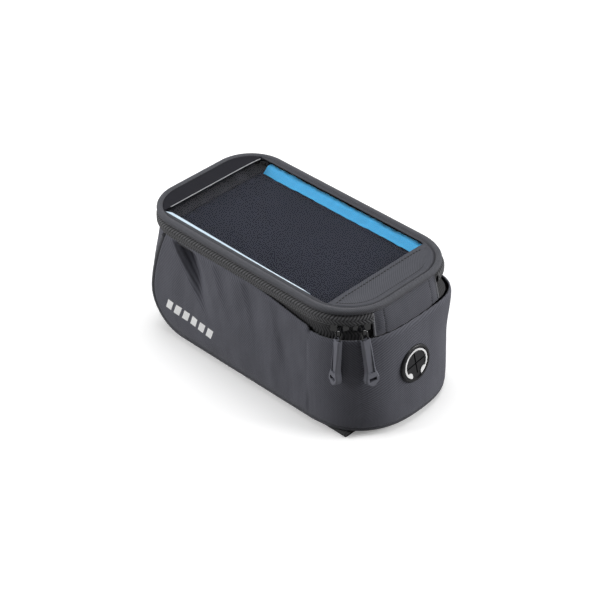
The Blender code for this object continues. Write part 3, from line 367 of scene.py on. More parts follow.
def wall_slant(tree, place):
    """Ribs that fall towards the near end on the long walls and rise across the near end."""
    along = node(tree, "ShaderNodeSeparateXYZ", {0: place}).outputs[0]
    near, other = (value(tree, "GREATER_THAN", along, turn) for turn in BAND_TURNS)
    return value(tree, "MULTIPLY_ADD", other, 0.29, value(tree, "MULTIPLY_ADD", near, 0.99, -0.64))


def twill_cloth(name, dark, light, rib=0.0012, slant=0.4, depth=0.00016, rough=0.72, sheen=0.10, gloss=0.4):
    material, shader = new_material(name)
    tree = material.node_tree
    place = place_of(tree, True)
    slant = slant(tree, place) if callable(slant) else slant
    weave = use_group(tree, TWILL, Place=place, Rib=rib, Slant=slant)
    shade = value(tree, "MULTIPLY_ADD", weave["Shade"], 0.60, -0.30)
    level = value(tree, "ADD", value(tree, "MULTIPLY_ADD", weave["Height"], 0.85, 0.10), shade)
    level = node(tree, "ShaderNodeClamp", {"Value": level}).outputs[0]
    tree.links.new(colour_mix(tree, level, dark, light), shader.inputs["Base Color"])
    tree.links.new(value(tree, "MULTIPLY_ADD", weave["Thread"], 0.10, rough - 0.05), shader.inputs["Roughness"])
    shader.inputs["Sheen Weight"].default_value = sheen
    shader.inputs["Sheen Roughness"].default_value = 0.45
    shader.inputs["Specular IOR Level"].default_value = gloss
    bump(tree, shader, weave["Height"], depth)
    return material


def tape_cloth(name, dark, light, rib=0.0022, row=0.0034, depth=0.00030):
    material, shader = new_material(name)
    tree = material.node_tree
    weave = use_group(tree, HERRINGBONE, Place=place_of(tree, True), Rib=rib, Row=row)
    level = value(tree, "MULTIPLY", weave["Height"], value(tree, "MULTIPLY_ADD", weave["Groove"], 0.35, 0.65))
    tree.links.new(colour_mix(tree, level, dark, light), shader.inputs["Base Color"])
    shader.inputs["Roughness"].default_value = 0.75
    shader.inputs["Sheen Weight"].default_value = 0.10
    bump(tree, shader, level, depth)
    return material


def moulded(name, colour, rough, size=0.0005, depth=0.00002, dust=0.3, metallic=0.0, coat=0.0, gloss=0.5):
    material, shader = new_material(name)
    tree = material.node_tree
    grain = use_group(tree, GRAIN, Place=place_of(tree, False), Size=size, Dust=dust)
    worn = tuple(min(1.0, c * 1.35 + 0.01) for c in colour)
    tone = colour_mix(tree, value(tree, "MULTIPLY", grain["Scuff"], 0.6), colour, worn)
    pale = tuple(min(1.0, c + 0.16) for c in colour)
    tree.links.new(colour_mix(tree, grain["Dust"], tone, pale), shader.inputs["Base Color"])
    tree.links.new(value(tree, "MULTIPLY_ADD", grain["Scuff"], 0.24, rough - 0.12), shader.inputs["Roughness"])
    shader.inputs["Metallic"].default_value = metallic
    shader.inputs["Specular IOR Level"].default_value = gloss
    shader.inputs["Coat Weight"].default_value = coat
    bump(tree, shader, grain["Height"], depth)
    return material


def clear_film():
    material, shader = new_material("clear film")
    tree = material.node_tree
    place = place_of(tree, False)
    ripple = cloud(tree, place, 22.0, 1.0)
    smear = cloud(tree, place, 90.0, 5.0)
    shader.inputs["Base Color"].default_value = (0.97, 0.98, 1.0, 1.0)
    shader.inputs["Transmission Weight"].default_value = 1.0
    shader.inputs["IOR"].default_value = 1.12
    smeared = value(tree, "GREATER_THAN", smear, 0.66)
    tree.links.new(value(tree, "MULTIPLY", smeared, 0.04), shader.inputs["Roughness"])
    bump(tree, shader, ripple, 0.0002, 0.3)
    return material


def thread_cloth(name, colour):
    material, shader = new_material(name)
    tree = material.node_tree
    fuzz = cloud(tree, place_of(tree, False), 2600.0)
    tree.links.new(colour_mix(tree, fuzz, tuple(c * 0.6 for c in colour), colour), shader.inputs["Base Color"])
    shader.inputs["Roughness"].default_value = 0.6
    return material


# ---------------------------------------------------------------- mesh helpers


def link_mesh(name, bm, material=None, smooth=40):
    mesh = bpy.data.meshes.new(name)
    bm.to_mesh(mesh)
    bm.free()
    mesh.shade_smooth()
    mesh.set_sharp_from_angle(angle=radians(smooth))
    piece = bpy.data.objects.new(name, mesh)
    bpy.context.scene.collection.objects.link(piece)
    if material:
        mesh.materials.append(material)
    return piece


def laid_sheet(name, steps, size, place, material, thickness=0.0, side=1, closed=False):
    """A grid laid out by a rule from shares along and across; its UV map is the flat cloth in metres."""
    bm = bmesh.new()
    bmesh.ops.create_grid(bm, x_segments=steps[0], y_segments=steps[1], size=0.5)
    laid = bm.loops.layers.uv.new("cloth")
    for face in bm.faces:
        for loop in face.loops:
            loop[laid].uv = ((loop.vert.co.x + 0.5) * size[0], (loop.vert.co.y + 0.5) * size[1])
    for vert in bm.verts:
        vert.co = place(vert.co.x + 0.5, vert.co.y + 0.5)
    if closed:
        bmesh.ops.remove_doubles(bm, verts=bm.verts[:], dist=1e-6)
    if side < 0:
        bmesh.ops.reverse_faces(bm, faces=bm.faces[:])
    piece = link_mesh(name, bm, material, smooth=60)
    if thickness:
        wall = piece.modifiers.new("thickness", "SOLIDIFY")
        wall.thickness = thickness
        wall.offset = -1.0
        wall.use_even_offset = True
    return piece


def cord_tube(name, path, radius, material, steps, sides=14, closed=False, length=None):
    """A round welt along a path given as place and way out; its UV map runs along and round."""
    length = length or sum((path((k + 1) / 40)[0] - path(k / 40)[0]).length for k in range(40))

    def place(u, v):
        centre, out = path(u)
        ahead = (path(min(1.0, u + 0.002))[0] - path(max(0.0, u - 0.002))[0]).normalized()
        if closed:
            ahead = (path((u + 0.002) % 1)[0] - path((u - 0.002) % 1)[0]).normalized()
        out = (out - ahead * out.dot(ahead)).normalized()
        up = ahead.cross(out)
        return centre + radius * (out * cos(2 * pi * v) + up * sin(2 * pi * v))

    piece = laid_sheet(name, (steps, sides), (length, 2 * pi * radius), place, material, side=-1, closed=True)
    if not closed:
        bm = bmesh.new()
        bm.from_mesh(piece.data)
        bmesh.ops.holes_fill(bm, edges=[edge for edge in bm.edges if edge.is_boundary])
        bm.to_mesh(piece.data)
        bm.free()
    return piece


def dress(piece, body, slot, *nodes):
    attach(piece, body)
    if nodes:
        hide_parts(*nodes)
    return piece


def lid_edge(s, inset=0.0):
    """Place and way out on the lid's edge, s metres round from the near end's middle by the printed side."""
    s %= 2 * HALF_ROUND
    side = -1 if s <= HALF_ROUND else 1
    s = min(s, 2 * HALF_ROUND - s)
    if s < NEAR_CENTRE.y:
        place, out = Vector((LID_NEAR_X, s)), Vector((1, 0))
    elif s < NEAR_CENTRE.y + NEAR_ARC:
        turn = (s - NEAR_CENTRE.y) / NEAR_RADIUS
        out = Vector((cos(turn), sin(turn)))
        place = NEAR_CENTRE + NEAR_RADIUS * out
    elif s < NEAR_CENTRE.y + NEAR_ARC + SIDE_RUN:
        place, out = Vector((NEAR_CENTRE.x - (s - NEAR_CENTRE.y - NEAR_ARC), HALF_LID)), Vector((0, 1))
    elif s < HALF_ROUND - FAR_CENTRE.y:
        turn = (s - NEAR_CENTRE.y - NEAR_ARC - SIDE_RUN) / FAR_RADIUS
        out = Vector((-sin(turn), cos(turn)))
        place = FAR_CENTRE + FAR_RADIUS * out
    else:
        place, out = Vector((LID_FAR_X, HALF_ROUND - s)), Vector((-1, 0))
    place -= out * inset
    return Vector((place.x, side * place.y, 0)), Vector((out.x, side * out.y, 0))


def at(point, z):
    return Vector((point.x, point.y, z))


# ---------------------------------------------------------------- walls


def wall_top(x):
    return mix(WALL_TOP_FAR_Z, WALL_TOP_NEAR_Z, ease(x / 0.078))


def near_power(y, share):
    return mix(*(PRINT_SIDE_POWER if y < 0 else OTHER_SIDE_POWER), share)


def near_x(y, z, inset=0.0):
    share = max(0.0, min(1.0, (WALL_TOP_NEAR_Z - z) / (WALL_TOP_NEAR_Z - WALL_BOTTOM_Z)))
    reach = mix(*WALL_NEAR_X, share) - NEAR_CENTRE.x - inset
    power = near_power(y, share)
    return NEAR_CENTRE.x + reach * max(0.0, 1 - min(1.0, abs(y) / (HALF_BODY - inset)) ** power) ** (1 / power)


def bulge_share(z):
    return ease((WALL_TOP_FAR_Z - z) / (WALL_TOP_FAR_Z - BEND_Z))


def seam_x(z):
    return mix(*SEAM_X, max(0.0, (z - BEND_Z) / (WALL_TOP_FAR_Z - BEND_Z)) ** 1.6)


def seam_y(z):
    return HALF_BODY - mix(*SEAM_INSET, bulge_share(z))


def turn_at(z):
    """How far round the corner welt the cloth on the front meets it."""
    return radians(mix(*SEAM_TURN, bulge_share(z)))


def swell(x, y, z, size, seed):
    """Soft, uneven rise and fall of cloth."""
    return noise.noise(Vector((x / size, y / size, z / size)) + Vector((seed, 0, 0)))


def fold_depth(x, z, top, foot, steep, soft, deep):
    """A fold that falls away sharply past its ridge and comes back slowly; the ridge runs from top to foot."""
    along = foot - top
    share = (Vector((x, z)) - top).dot(along) / along.length_squared
    held = max(0.0, min(1.0, share))
    away = (Vector((x, z)) - top - along * held).dot(Vector((-along.y, along.x)).normalized())
    bottom = steep * mix(1.0, 0.75, held)
    fade = ease(1 - max(0.0, share - 0.35) / 0.90)
    if away < bottom:
        return deep * fade * sin(pi / 2 * max(0.0, away / bottom)) ** 1.3
    return deep * fade * ease(1 - (away - bottom) / (soft * mix(1.0, 0.6, held)))


def wall_front(v):
    """Front edge of the side wall and its level, for a share from the top down."""
    if v < 0.5:
        z = mix(WALL_TOP_FAR_Z, BEND_Z, v / 0.5)
        return seam_x(z) + SEAM_REACH, z
    turn = pi / 2 * (v - 0.5) / 0.5
    radius = BEND_RADIUS - SEAM_REACH
    return BEND_X - radius * cos(turn), BEND_Z - radius * sin(turn)


def side_place(u, v):
    """The band of cloth from the printed side's front seam round the near end to the other front seam."""
    front, level = wall_front(v)
    share = (WALL_TOP_FAR_Z - level) / (WALL_TOP_FAR_Z - WALL_BOTTOM_Z)
    part = BAND_SIDE / BAND[0]
    side = -1 if u < 0.5 else 1
    run = min(u, 1 - u)
    if run < part:
        x = mix(front, NEAR_CENTRE.x, run / part)
        z = mix(wall_top(x), WALL_BOTTOM_Z, share)
        tuck = max(0.0, (FAR_CENTRE.x + 0.012 - x) / (FAR_CENTRE.x + 0.012 - front))
        edge = seam_y(z) + SEAM_REACH * cos(radians(SEAM_TURN[1]))
        out = mix(HALF_BODY, edge, ease(tuck))
        inside = ease((x - front) / 0.03)
        height = (z - WALL_BOTTOM_Z) / (WALL_TOP_FAR_Z - WALL_BOTTOM_Z)
        out += 0.0012 * sin(pi * max(0.0, min(1.0, height))) * sin(pi * ease((x - front) / 0.14))
        hold = inside * ease((1 - share) / 0.10 + 0.15) * ease(share / 0.10 + 0.15)
        out += hold * 0.0011 * swell(x, 0.3 * side, 0.35 * z, 0.021, 3.0)
        out += hold * 0.0005 * swell(x, 0.2 * side, 0.6 * z, 0.009, 8.0)
        if side < 0:
            for top, foot, steep, soft, deep in WALL_FOLDS:
                out -= fold_depth(x, z, Vector(top), Vector(foot), steep, soft, deep) * ease(share / 0.06)
        out -= 0.0007 * ease(1 - share / 0.045)
        return Vector((x, side * out, z))
    turn = pi / 2 * (1 - (run - part) / (0.5 - part))
    z = mix(WALL_TOP_NEAR_Z, WALL_BOTTOM_Z, share)
    y = HALF_BODY * abs(sin(turn)) ** (2 / near_power(side, share)) * side
    point = Vector((near_x(y, z), y, z))
    hold = ease((1 - share) / 0.12) * ease(share / 0.12)
    out = Vector((point.x - NEAR_CENTRE.x, point.y, 0)).normalized()
    clear = ease((Vector((y, z - GROMMET_Z)).length - 0.013) / 0.006)
    turned_in = 0.0007 * ease(1 - share / 0.045)
    if side > 0:
        turned_in -= 0.0030 * sin(2 * turn) ** 2 * ease(1 - share / 0.5)
    return point + out * (hold * clear * 0.0006 * swell(point.x, y, 0.4 * z, 0.016, 5.0) - turned_in)


def front_place(u, v):
    """The panel down the front, round the bend and along the base."""
    t = 2 * u - 1
    side = 1 if t > 0 else -1
    bow = abs(cos(pi / 2 * t)) ** (2 / FRONT_POWER)
    across = side * abs(sin(pi / 2 * t)) ** (2 / FRONT_POWER)
    if v < 0.36:
        z = mix(WALL_TOP_FAR_Z, BEND_Z, v / 0.36)
        share = bulge_share(z)
        turn = turn_at(z)
        edge_x = seam_x(z) - SEAM_REACH * cos(turn)
        edge_y = seam_y(z) - SEAM_REACH * sin(turn)
        radius = FAR_RADIUS - HALF_LID + HALF_BODY
        top_turn = turn_at(WALL_TOP_FAR_Z)
        top_x = seam_x(WALL_TOP_FAR_Z) - SEAM_REACH * cos(top_turn)
        last = atan2(sqrt(radius**2 - (FAR_CENTRE.x - top_x) ** 2), FAR_CENTRE.x - top_x)
        run = abs(t) * (FAR_CENTRE.y + radius * last)
        if run <= FAR_CENTRE.y:
            x, y = FAR_CENTRE.x - radius, run
        else:
            x = FAR_CENTRE.x - radius * cos((run - FAR_CENTRE.y) / radius)
            y = FAR_CENTRE.y + radius * sin((run - FAR_CENTRE.y) / radius)
        crown = (top_x - x) / (top_x - FAR_CENTRE.x + radius)
        wide = side * y / (FAR_CENTRE.y + radius * sin(last))
        reach = edge_x - mix(*FRONT_X, share)
        soft = 0.0008 * swell(0.1, edge_y * t, 0.5 * z, 0.018, 11.0) * (1 - t**4) * ease(v / 0.08)
        return Vector((edge_x - reach * mix(crown, bow, share) - soft, edge_y * mix(wide, across, share), z))
    edge_x = seam_x(BEND_Z) - SEAM_REACH * cos(radians(SEAM_TURN[1]))
    half = seam_y(BEND_Z) - SEAM_REACH * sin(radians(SEAM_TURN[1]))
    radius = BEND_X - edge_x
    reach = edge_x - FRONT_X[1]
    if v < 0.62:
        turn = pi / 2 * (v - 0.36) / 0.26
        return Vector((BEND_X - (radius + reach * bow) * cos(turn), half * across, BEND_Z - radius * sin(turn)))
    inset = BASE_SEAM_INSET + SEAM_REACH
    end = near_x((HALF_BODY - inset) * across, WALL_BOTTOM_Z, inset)
    return Vector((mix(BEND_X, end, (v - 0.62) / 0.38), half * across, BASE_Z))


def seam_half(t, side):
    """Half of the body's seam: down the front corner, round the bend and along the base to the near end."""
    if t < 0.28:
        z = mix(SEAM_TOP_Z, BEND_Z, t / 0.28)
        return Vector((seam_x(z), seam_y(z), z))
    if t < 0.42:
        turn = pi / 2 * (t - 0.28) / 0.14
        return Vector((BEND_X - BEND_RADIUS * cos(turn), seam_y(BEND_Z), BEND_Z - BEND_RADIUS * sin(turn)))
    edge = HALF_BODY - BASE_SEAM_INSET
    if t < 0.76:
        share = (t - 0.42) / 0.34
        return Vector((mix(BEND_X, NEAR_CENTRE.x, share), mix(seam_y(BEND_Z), edge, share), PIPING_Z))
    y = edge * cos(pi / 2 * (t - 0.76) / 0.24) ** (2 / near_power(side, 1.0))
    return Vector((near_x(side * y, WALL_BOTTOM_Z, BASE_SEAM_INSET), y, PIPING_Z))


def seam_path(u):
    t, side = (2 * u, -1) if u < 0.5 else (2 - 2 * u, 1)
    p = seam_half(min(1.0, t), side)
    point = Vector((p.x, side * p.y, p.z))
    return point, (point - Vector((0, 0, 0.04))).normalized()


def body_pieces():
    side = laid_sheet("side_cloth", (420, 96), BAND, side_place, WALL_CLOTH, WALL)
    cut_grommet_hole(side)
    dress(side, "bag", "twill", "side_wall")
    front = laid_sheet("front_cloth", (64, 150), (0.094, 0.250), front_place, FRONT_CLOTH, WALL)
    dress(front, "bag", "twill", "front_base_panel")
    print_bars(side)
    welt = cord_tube("body_welt", seam_path, PIPING_RADIUS, WELT_CLOTH, 420, sides=12)
    dress(welt, "bag", "trim", "body_piping")


def grommet_frame():
    lean = atan2(WALL_NEAR_X[1] - WALL_NEAR_X[0], WALL_TOP_NEAR_Z - WALL_BOTTOM_Z)
    return Matrix.Translation((near_x(0, GROMMET_Z), 0, GROMMET_Z)) @ Matrix.Rotation(pi / 2 - lean, 4, "Y")


def cut_grommet_hole(wall):
    bm = bmesh.new()
    size = {"radius1": GROMMET_HOLE, "radius2": GROMMET_HOLE, "depth": 0.012}
    bmesh.ops.create_cone(bm, cap_ends=True, segments=48, matrix=grommet_frame(), **size)
    cutter = link_mesh("grommet_cutter", bm)
    cut = wall.modifiers.new("grommet hole", "BOOLEAN")
    cut.operation = "DIFFERENCE"
    cut.solver = "EXACT"
    cut.object = cutter
    bake_modifiers(wall)
    bpy.data.objects.remove(cutter)


def bake_modifiers(piece):
    """Applies a piece's modifiers to its mesh."""
    settled = bpy.data.meshes.new_from_object(piece.evaluated_get(bpy.context.evaluated_depsgraph_get()))
    piece.modifiers.clear()
    piece.data = settled


# ---------------------------------------------------------------- lid


def lid_x(y, inset):
    """The lid's near boundary at y."""
    past = max(0.0, abs(y) - NEAR_CENTRE.y)
    return NEAR_CENTRE.x + sqrt(max(0.0, (NEAR_RADIUS - inset) ** 2 - past**2))


def far_lid_x(y, inset):
    past = max(0.0, abs(y) - FAR_CENTRE.y)
    return FAR_CENTRE.x - sqrt(max(0.0, (FAR_RADIUS - inset) ** 2 - past**2))


def outside_window(point):
    """How far a point lies outside the window's round-cornered outline."""
    x = abs(point.x - WINDOW_MIDDLE_X) - (WINDOW_NEAR_X - WINDOW_MIDDLE_X - WINDOW_ROUND)
    y = abs(point.y) - (HALF_WINDOW - WINDOW_ROUND)
    return sqrt(max(x, 0) ** 2 + max(y, 0) ** 2) + min(max(x, y), 0.0) - WINDOW_ROUND


def window_edge(point):
    """The place on the window's outline between its middle and a point outside it."""
    middle = Vector((WINDOW_MIDDLE_X, 0, 0))
    low, high = 0.0, 1.0
    for _ in range(24):
        half = (low + high) / 2
        if outside_window(middle.lerp(point, half)) > 0:
            high = half
        else:
            low = half
    return middle.lerp(point, high)


def corner_flare(place):
    """How far the soft edge stands out round the near corner away from the printed side."""
    turn = atan2(place.y - NEAR_CENTRE.y, place.x - NEAR_CENTRE.x)
    return CORNER_FLARE * sin(2 * turn) ** 1.5 if 0 < turn < pi / 2 else 0.0


def lid_pieces():
    def welt_path(u):
        place, out = lid_edge(2 * HALF_ROUND * u, WELT_INSET)
        return at(place, WELT_Z) + out * EDGE_FLARE_SHARE * corner_flare(place), out

    welt = cord_tube("lid_welt", welt_path, WELT_RADIUS, WELT_CLOTH, 400, sides=16, closed=True)
    dress(welt, "lid", "trim", "lid_piping")

    def hem_place(u, v):
        outer, out = lid_edge(2 * HALF_ROUND * u, HEM_INSET)
        outer += out * EDGE_FLARE_SHARE * corner_flare(outer)
        return at(outer.lerp(window_edge(outer), v), LID_TOP + 0.0003)

    hem = laid_sheet("lid_hem", (300, 8), (0.513, 0.0045), hem_place, HEM_CLOTH, 0.0003, side=-1, closed=True)
    dress(hem, "lid", "twill", "lid_frame")
    far_panel()
    near_panel()
    painted_film_highlights()
    pocket_pieces()


def far_panel():
    """The darker cloth between the window and the lid's far end."""
    half = FAR_CENTRE.y + sqrt((FAR_RADIUS - HEM_INSET) ** 2 - (FAR_CENTRE.x - FAR_PANEL_X) ** 2)

    def place(u, v):
        y = half * sin(pi * (u - 0.5))
        far = far_lid_x(y, HEM_INSET)
        rise = 0.0006 * (1 - (2 * u - 1) ** 4) * sin(pi * v)
        return Vector((mix(far, FAR_PANEL_X, v), y, LID_TOP + 0.0004 + rise))

    panel = laid_sheet("far_panel", (90, 12), (0.082, 0.0125), place, FAR_CLOTH, 0.0003)
    dress(panel, "lid", "weave")


def near_panel():
    half = NEAR_CENTRE.y + sqrt((NEAR_RADIUS - HEM_INSET) ** 2 - (PANEL_X - NEAR_CENTRE.x) ** 2)

    def level(x, y):
        away = NEAR_RADIUS - Vector((x - NEAR_CENTRE.x, max(0.0, abs(y) - NEAR_CENTRE.y))).length
        roll = 0.0017 - 0.0016 * ease(1 - (away - HEM_INSET) / 0.0018)
        rise = 0.0009 * ease((away - PANEL_RIM_SEAM) / 0.007) * ease((x - PANEL_X) / 0.005 + 0.2)
        furrow = 0.00035 / (1 + ((x - PANEL_SEAM_X) / 0.0007) ** 2)
        rim_furrow = 0.00030 / (1 + ((away - PANEL_RIM_SEAM) / 0.0007) ** 2)
        return WELT_Z + roll + rise - furrow - rim_furrow

    def place(u, v):
        y = half * sin(pi * (v - 0.5))
        x = mix(PANEL_X, max(PANEL_X, lid_x(y, HEM_INSET)), sin(pi / 2 * u))
        point = Vector((x, y, level(x, y)))
        away = Vector((x - NEAR_CENTRE.x, y - NEAR_CENTRE.y, 0))
        held = EDGE_FLARE_SHARE * corner_flare(point) * ease(away.length / NEAR_RADIUS * 2 - 0.9)
        return point + away.normalized() * held

    panel = laid_sheet("near_cloth", (60, 120), (0.0240, 0.084), place, PANEL_CLOTH, 0.0004)
    dress(panel, "lid", "weave", "near_panel")
    reach = half - 0.006
    straight = []
    for k in range(int(2 * reach / 0.0026)):
        y = -reach + 0.0026 * k
        straight.append(Vector((PANEL_SEAM_X, y, level(PANEL_SEAM_X, y) + 0.0001)))
    stitches("panel_stitches", straight, 0.0019, 0.00045, DARK_THREAD, "lid", "trim")
    curve = []
    for k in range(56):
        turn = radians(mix(-66, 66, k / 55))
        side = 1 if turn > 0 else -1
        y = side * NEAR_CENTRE.y * abs(sin(turn)) + (NEAR_RADIUS - PANEL_RIM_SEAM) * sin(turn)
        x = lid_x(y, PANEL_RIM_SEAM)
        if x > PANEL_SEAM_X + 0.001:
            curve.append(Vector((x, y, level(x, y) + 0.00005)))
    stitches("rim_stitches", curve, 0.0014, 0.00022, DARK_THREAD, "lid", "trim")


def stitches(name, places, length, radius, material, body, slot, rise=Vector((0, 0, 1))):
    """Short threads along a run of places, each half sunk in the cloth."""
    bm = bmesh.new()
    for k, place in enumerate(places):
        ahead = (places[min(k + 1, len(places) - 1)] - places[max(k - 1, 0)]).normalized()
        side = ahead.cross(rise).normalized()
        turn = Matrix((ahead, side, ahead.cross(side))).transposed().to_4x4()
        shape = Matrix.Diagonal((length / 2, radius, radius * 0.8, 1))
        bmesh.ops.create_uvsphere(
            bm, u_segments=6, v_segments=6, radius=1.0, matrix=Matrix.Translation(place) @ turn @ shape
        )
    return dress(link_mesh(name, bm, material, smooth=80), body, slot)


def painted_film_highlights():
    """Pale strips on the film's welded edges along the printed side and the far end: painted highlights for the
    light that the bent film edges catch.
    """

    def side_place(u, v):
        x = mix(-0.0765, 0.0480, u)
        wide = mix(0.0022, 0.0007, ease(u * 1.1)) * ease(u / 0.03) * ease((1 - u) / 0.05)
        z = LID_TOP + 0.0002 + 0.0004 * sin(pi * v)
        return Vector((x, -HALF_WINDOW + 0.0002 + wide * v, z))

    # Pale side strip: a painted highlight of light on the film's bent edge, not a colour of the film.
    edge = laid_sheet("film_side_highlight", (160, 6), (0.1245, 0.0022), side_place, FILM_EDGE_HIGHLIGHT)
    dress(edge, "lid", "window")

    def far_path(u):
        y = mix(-0.0375, 0.0405, u)
        return Vector((FAR_PANEL_X + 0.0002 + 0.0010 * u**12, y, LID_TOP + 0.0007)), Vector((1, 0, 0))

    # Pale far line: a painted highlight along the film's far edge.
    line = cord_tube("film_far_highlight", far_path, 0.00032, FILM_LINE_HIGHLIGHT, 60, sides=8)
    dress(line, "lid", "window")


def pocket_pieces():
    far = FAR_PANEL_X + 0.0052
    half = HALF_LID - 0.0046

    def lining_place(u, v):
        y = half * sin(pi * (v - 0.5))
        x = mix(far, lid_x(y, 0.0044), u)
        dent = 0.0005 * swell(x, y, 0.0, 0.016, 21.0) + 0.0002 * swell(x, y, 0.0, 0.006, 23.0)
        return Vector((x, y, LINING_Z + 0.0003 + dent))

    lining = laid_sheet("pocket_lining", (130, 80), (0.150, 0.088), lining_place, LINING_CLOTH, 0.0006)
    dress(lining, "lid", "navy", "pocket_backing")

    def elastic_place(u, v):
        x = mix(-0.0822, far, v)
        y = mix(-1, 1, u) * (FAR_CENTRE.y + sqrt((FAR_RADIUS - 0.0056) ** 2 - (FAR_CENTRE.x - x) ** 2))
        return Vector((x, y, LINING_Z + 0.0042 - 0.0034 * ease(v) + 0.00012 * sin(2 * pi * 90 * u)))

    size = (0.081, 0.0095)
    elastic = laid_sheet("elastic_edge", (720, 10), size, elastic_place, ELASTIC_CLOTH, 0.0006, side=-1)
    dress(elastic, "lid", "trim", "pocket_elastic")

    def blue_place(u, v):
        x = mix(-0.0703, 0.0657, u)
        y = mix(0.0365, 0.0445, v)
        crumple = 0.0006 * swell(x, y, 0.3, 0.010, 31.0) + 0.0004 * swell(x, y, 0.3, 0.004, 37.0)
        rise = 0.0032 * ease(v * 1.6)
        return Vector((x, y - 0.0003 * swell(x, 0.0, 0.5, 0.012, 41.0), LINING_Z + 0.0012 + rise + crumple))

    strip = laid_sheet("blue_lining", (220, 14), (0.136, 0.0088), blue_place, BLUE_CLOTH, 0.0004)
    dress(strip, "lid", "blue", "pocket_side_lining")


# ---------------------------------------------------------------- fold and zip


def fold_x(y, z):
    """Outer face of the fold that the lid turns on."""
    top = lid_x(y, FOLD_INSET)
    share = (UNDER_WELT_Z - z) / (UNDER_WELT_Z - FOLD_Z)
    return mix(top, near_x(y, WALL_TOP_NEAR_Z), share)


def fold_pieces():
    def place(u, v):
        y = mix(-HALF_FOLD, HALF_FOLD, u)
        z = mix(FOLD_Z + 0.0003, UNDER_WELT_Z, v)
        edge = min(u, 1 - u) * 2 * HALF_FOLD
        seam = 1 / (1 + ((edge - FOLD_SEAM) / 0.0006) ** 2)
        bulge = 0.0007 * sin(pi * v) * ease(edge / 0.004) + 0.0003 * swell(0.0, y, z, 0.012, 51.0) * sin(pi * v)
        return Vector((fold_x(y, z) + bulge - 0.0004 * seam, y, z))

    panel = laid_sheet("fold_cloth", (120, 20), (0.0545, 0.0166), place, FOLD_CLOTH, 0.0013)
    dress(panel, "lid", "twill", "hinge_panel")
    for side, name, node_name in ((-1, "left", "hinge_binding_left"), (1, "right", "hinge_binding_right")):

        def edge_path(u):
            y = side * (HALF_FOLD + 0.0004)
            z = mix(FOLD_Z + 0.0008, UNDER_WELT_Z - 0.0006, u)
            return Vector((fold_x(y, z) - 0.0003, y, z)), Vector((1, side * 0.4, 0))

        edging = cord_tube(f"fold_edging_{name}", edge_path, 0.00085, EDGING_CLOTH, 40, sides=12)
        dress(edging, "lid", "weave", node_name)
        seam = []
        for k in range(9):
            y = side * (HALF_FOLD - FOLD_SEAM)
            z = mix(FOLD_Z + 0.0012, UNDER_WELT_Z - 0.0010, k / 8)
            seam.append(Vector((fold_x(y, z) + 0.0004, y, z)))
        stitches(f"fold_stitches_{name}", seam, 0.0013, 0.00020, DARK_THREAD, "lid", "trim", Vector((1, 0, 0)))


def zip_pieces():
    start = HALF_FOLD + 0.0013

    def round_the_lid(u, inset):
        return lid_edge(mix(start, 2 * HALF_ROUND - start, u), inset)

    def upper_place(u, v):
        if v < 0.70:
            z = mix(*UPPER_TAPE_Z, v / 0.70)
            inset = mix(0.0015, 0.0, ease((z - UPPER_TAPE_Z[0]) / 0.0030))
        else:
            turn = pi / 2 * (v - 0.70) / 0.30
            z = UPPER_TAPE_Z[1] + 0.0024 * sin(turn)
            inset = 0.0026 * (1 - cos(turn))
        place, out = round_the_lid(u, inset)
        return at(place, z) + out * corner_flare(place) * ease((z - 0.0770) / 0.006)

    tape = laid_sheet("upper_tape", (360, 30), (0.46, 0.0110), upper_place, TAPE_CLOTH, 0.0003, side=-1)
    dress(tape, "lid", "trim", "upper_zip_tape")

    def lower_place(u, v):
        place, out = round_the_lid(u, 0.0022)
        top = at(place, LOWER_TAPE_Z[1])
        back, _ = round_the_lid(u, TAPE_INSET)
        knee = at(back, LOWER_TAPE_Z[0])
        foot = tape_foot(back)
        if v > 0.65:
            return knee.lerp(top, ease((v - 0.65) / 0.35))
        return foot.lerp(knee, v / 0.65) + out * 0.0004 * sin(pi * v / 0.65)

    # The lower tape's cloth is the zip tape cloth made darker: painted shade under the lid's edge.
    tape = laid_sheet("lower_tape", (360, 16), (0.46, 0.0085), lower_place, SHADED_TAPE_CLOTH, 0.0003, side=-1)
    dress(tape, "bag", "trim", "lower_zip_tape")

    last = 2 * HALF_ROUND - start
    for name, body, level, first, node_name in (
        ("upper_teeth", "lid", 0.07925, 0.0466, "upper_coil"),
        ("lower_teeth", "bag", 0.07695, 0.0272, "lower_coil"),
    ):
        teeth = round((last - first) / TOOTH_PITCH)

        def teeth_place(u, v):
            place, out = lid_edge(mix(first, last, u), TEETH_INSET)
            swing = 0.75 + 0.25 * sin(2 * pi * teeth * u)
            turn = 2 * pi * v
            rise = Vector((0, 0, 0.00052 * swing * sin(turn)))
            return at(place, level) + out * 0.0010 * swing * cos(turn) + rise

        piece = laid_sheet(name, (teeth * 6, 8), (last - first, 0.005), teeth_place, COIL_PLASTIC, closed=True)
        dress(piece, body, "navy", node_name)


def tape_foot(p):
    """The place just inside the top of the walls below a place on the lid's edge."""
    deep = WALL + 0.0012
    half = HALF_BODY - deep
    z = wall_top(p.x) - mix(0.0045, 0.0008, ease(p.y / 0.02))
    if p.x > NEAR_CENTRE.x:
        turn = atan2(p.y - NEAR_CENTRE.y, p.x - NEAR_CENTRE.x)
        fuller = max(0.0, sin(2 * turn)) ** 2
        y = p.y * half / (HALF_LID - TAPE_INSET)
        return Vector((near_x(y, z, deep), y, z)) + Vector((cos(turn), sin(turn), 0)) * 0.0030 * fuller
    side = 1 if p.y > 0 else -1
    if p.x > FAR_CENTRE.x:
        return Vector((p.x, side * half, z))
    away = Vector((p.x - FAR_CENTRE.x, max(0.0, abs(p.y) - FAR_CENTRE.y)))
    away *= (FAR_RADIUS - HALF_LID + half) / (FAR_RADIUS - TAPE_INSET)
    return Vector((FAR_CENTRE.x + away.x, side * (min(abs(p.y), FAR_CENTRE.y) + away.y), z))


# ---------------------------------------------------------------- straps and print


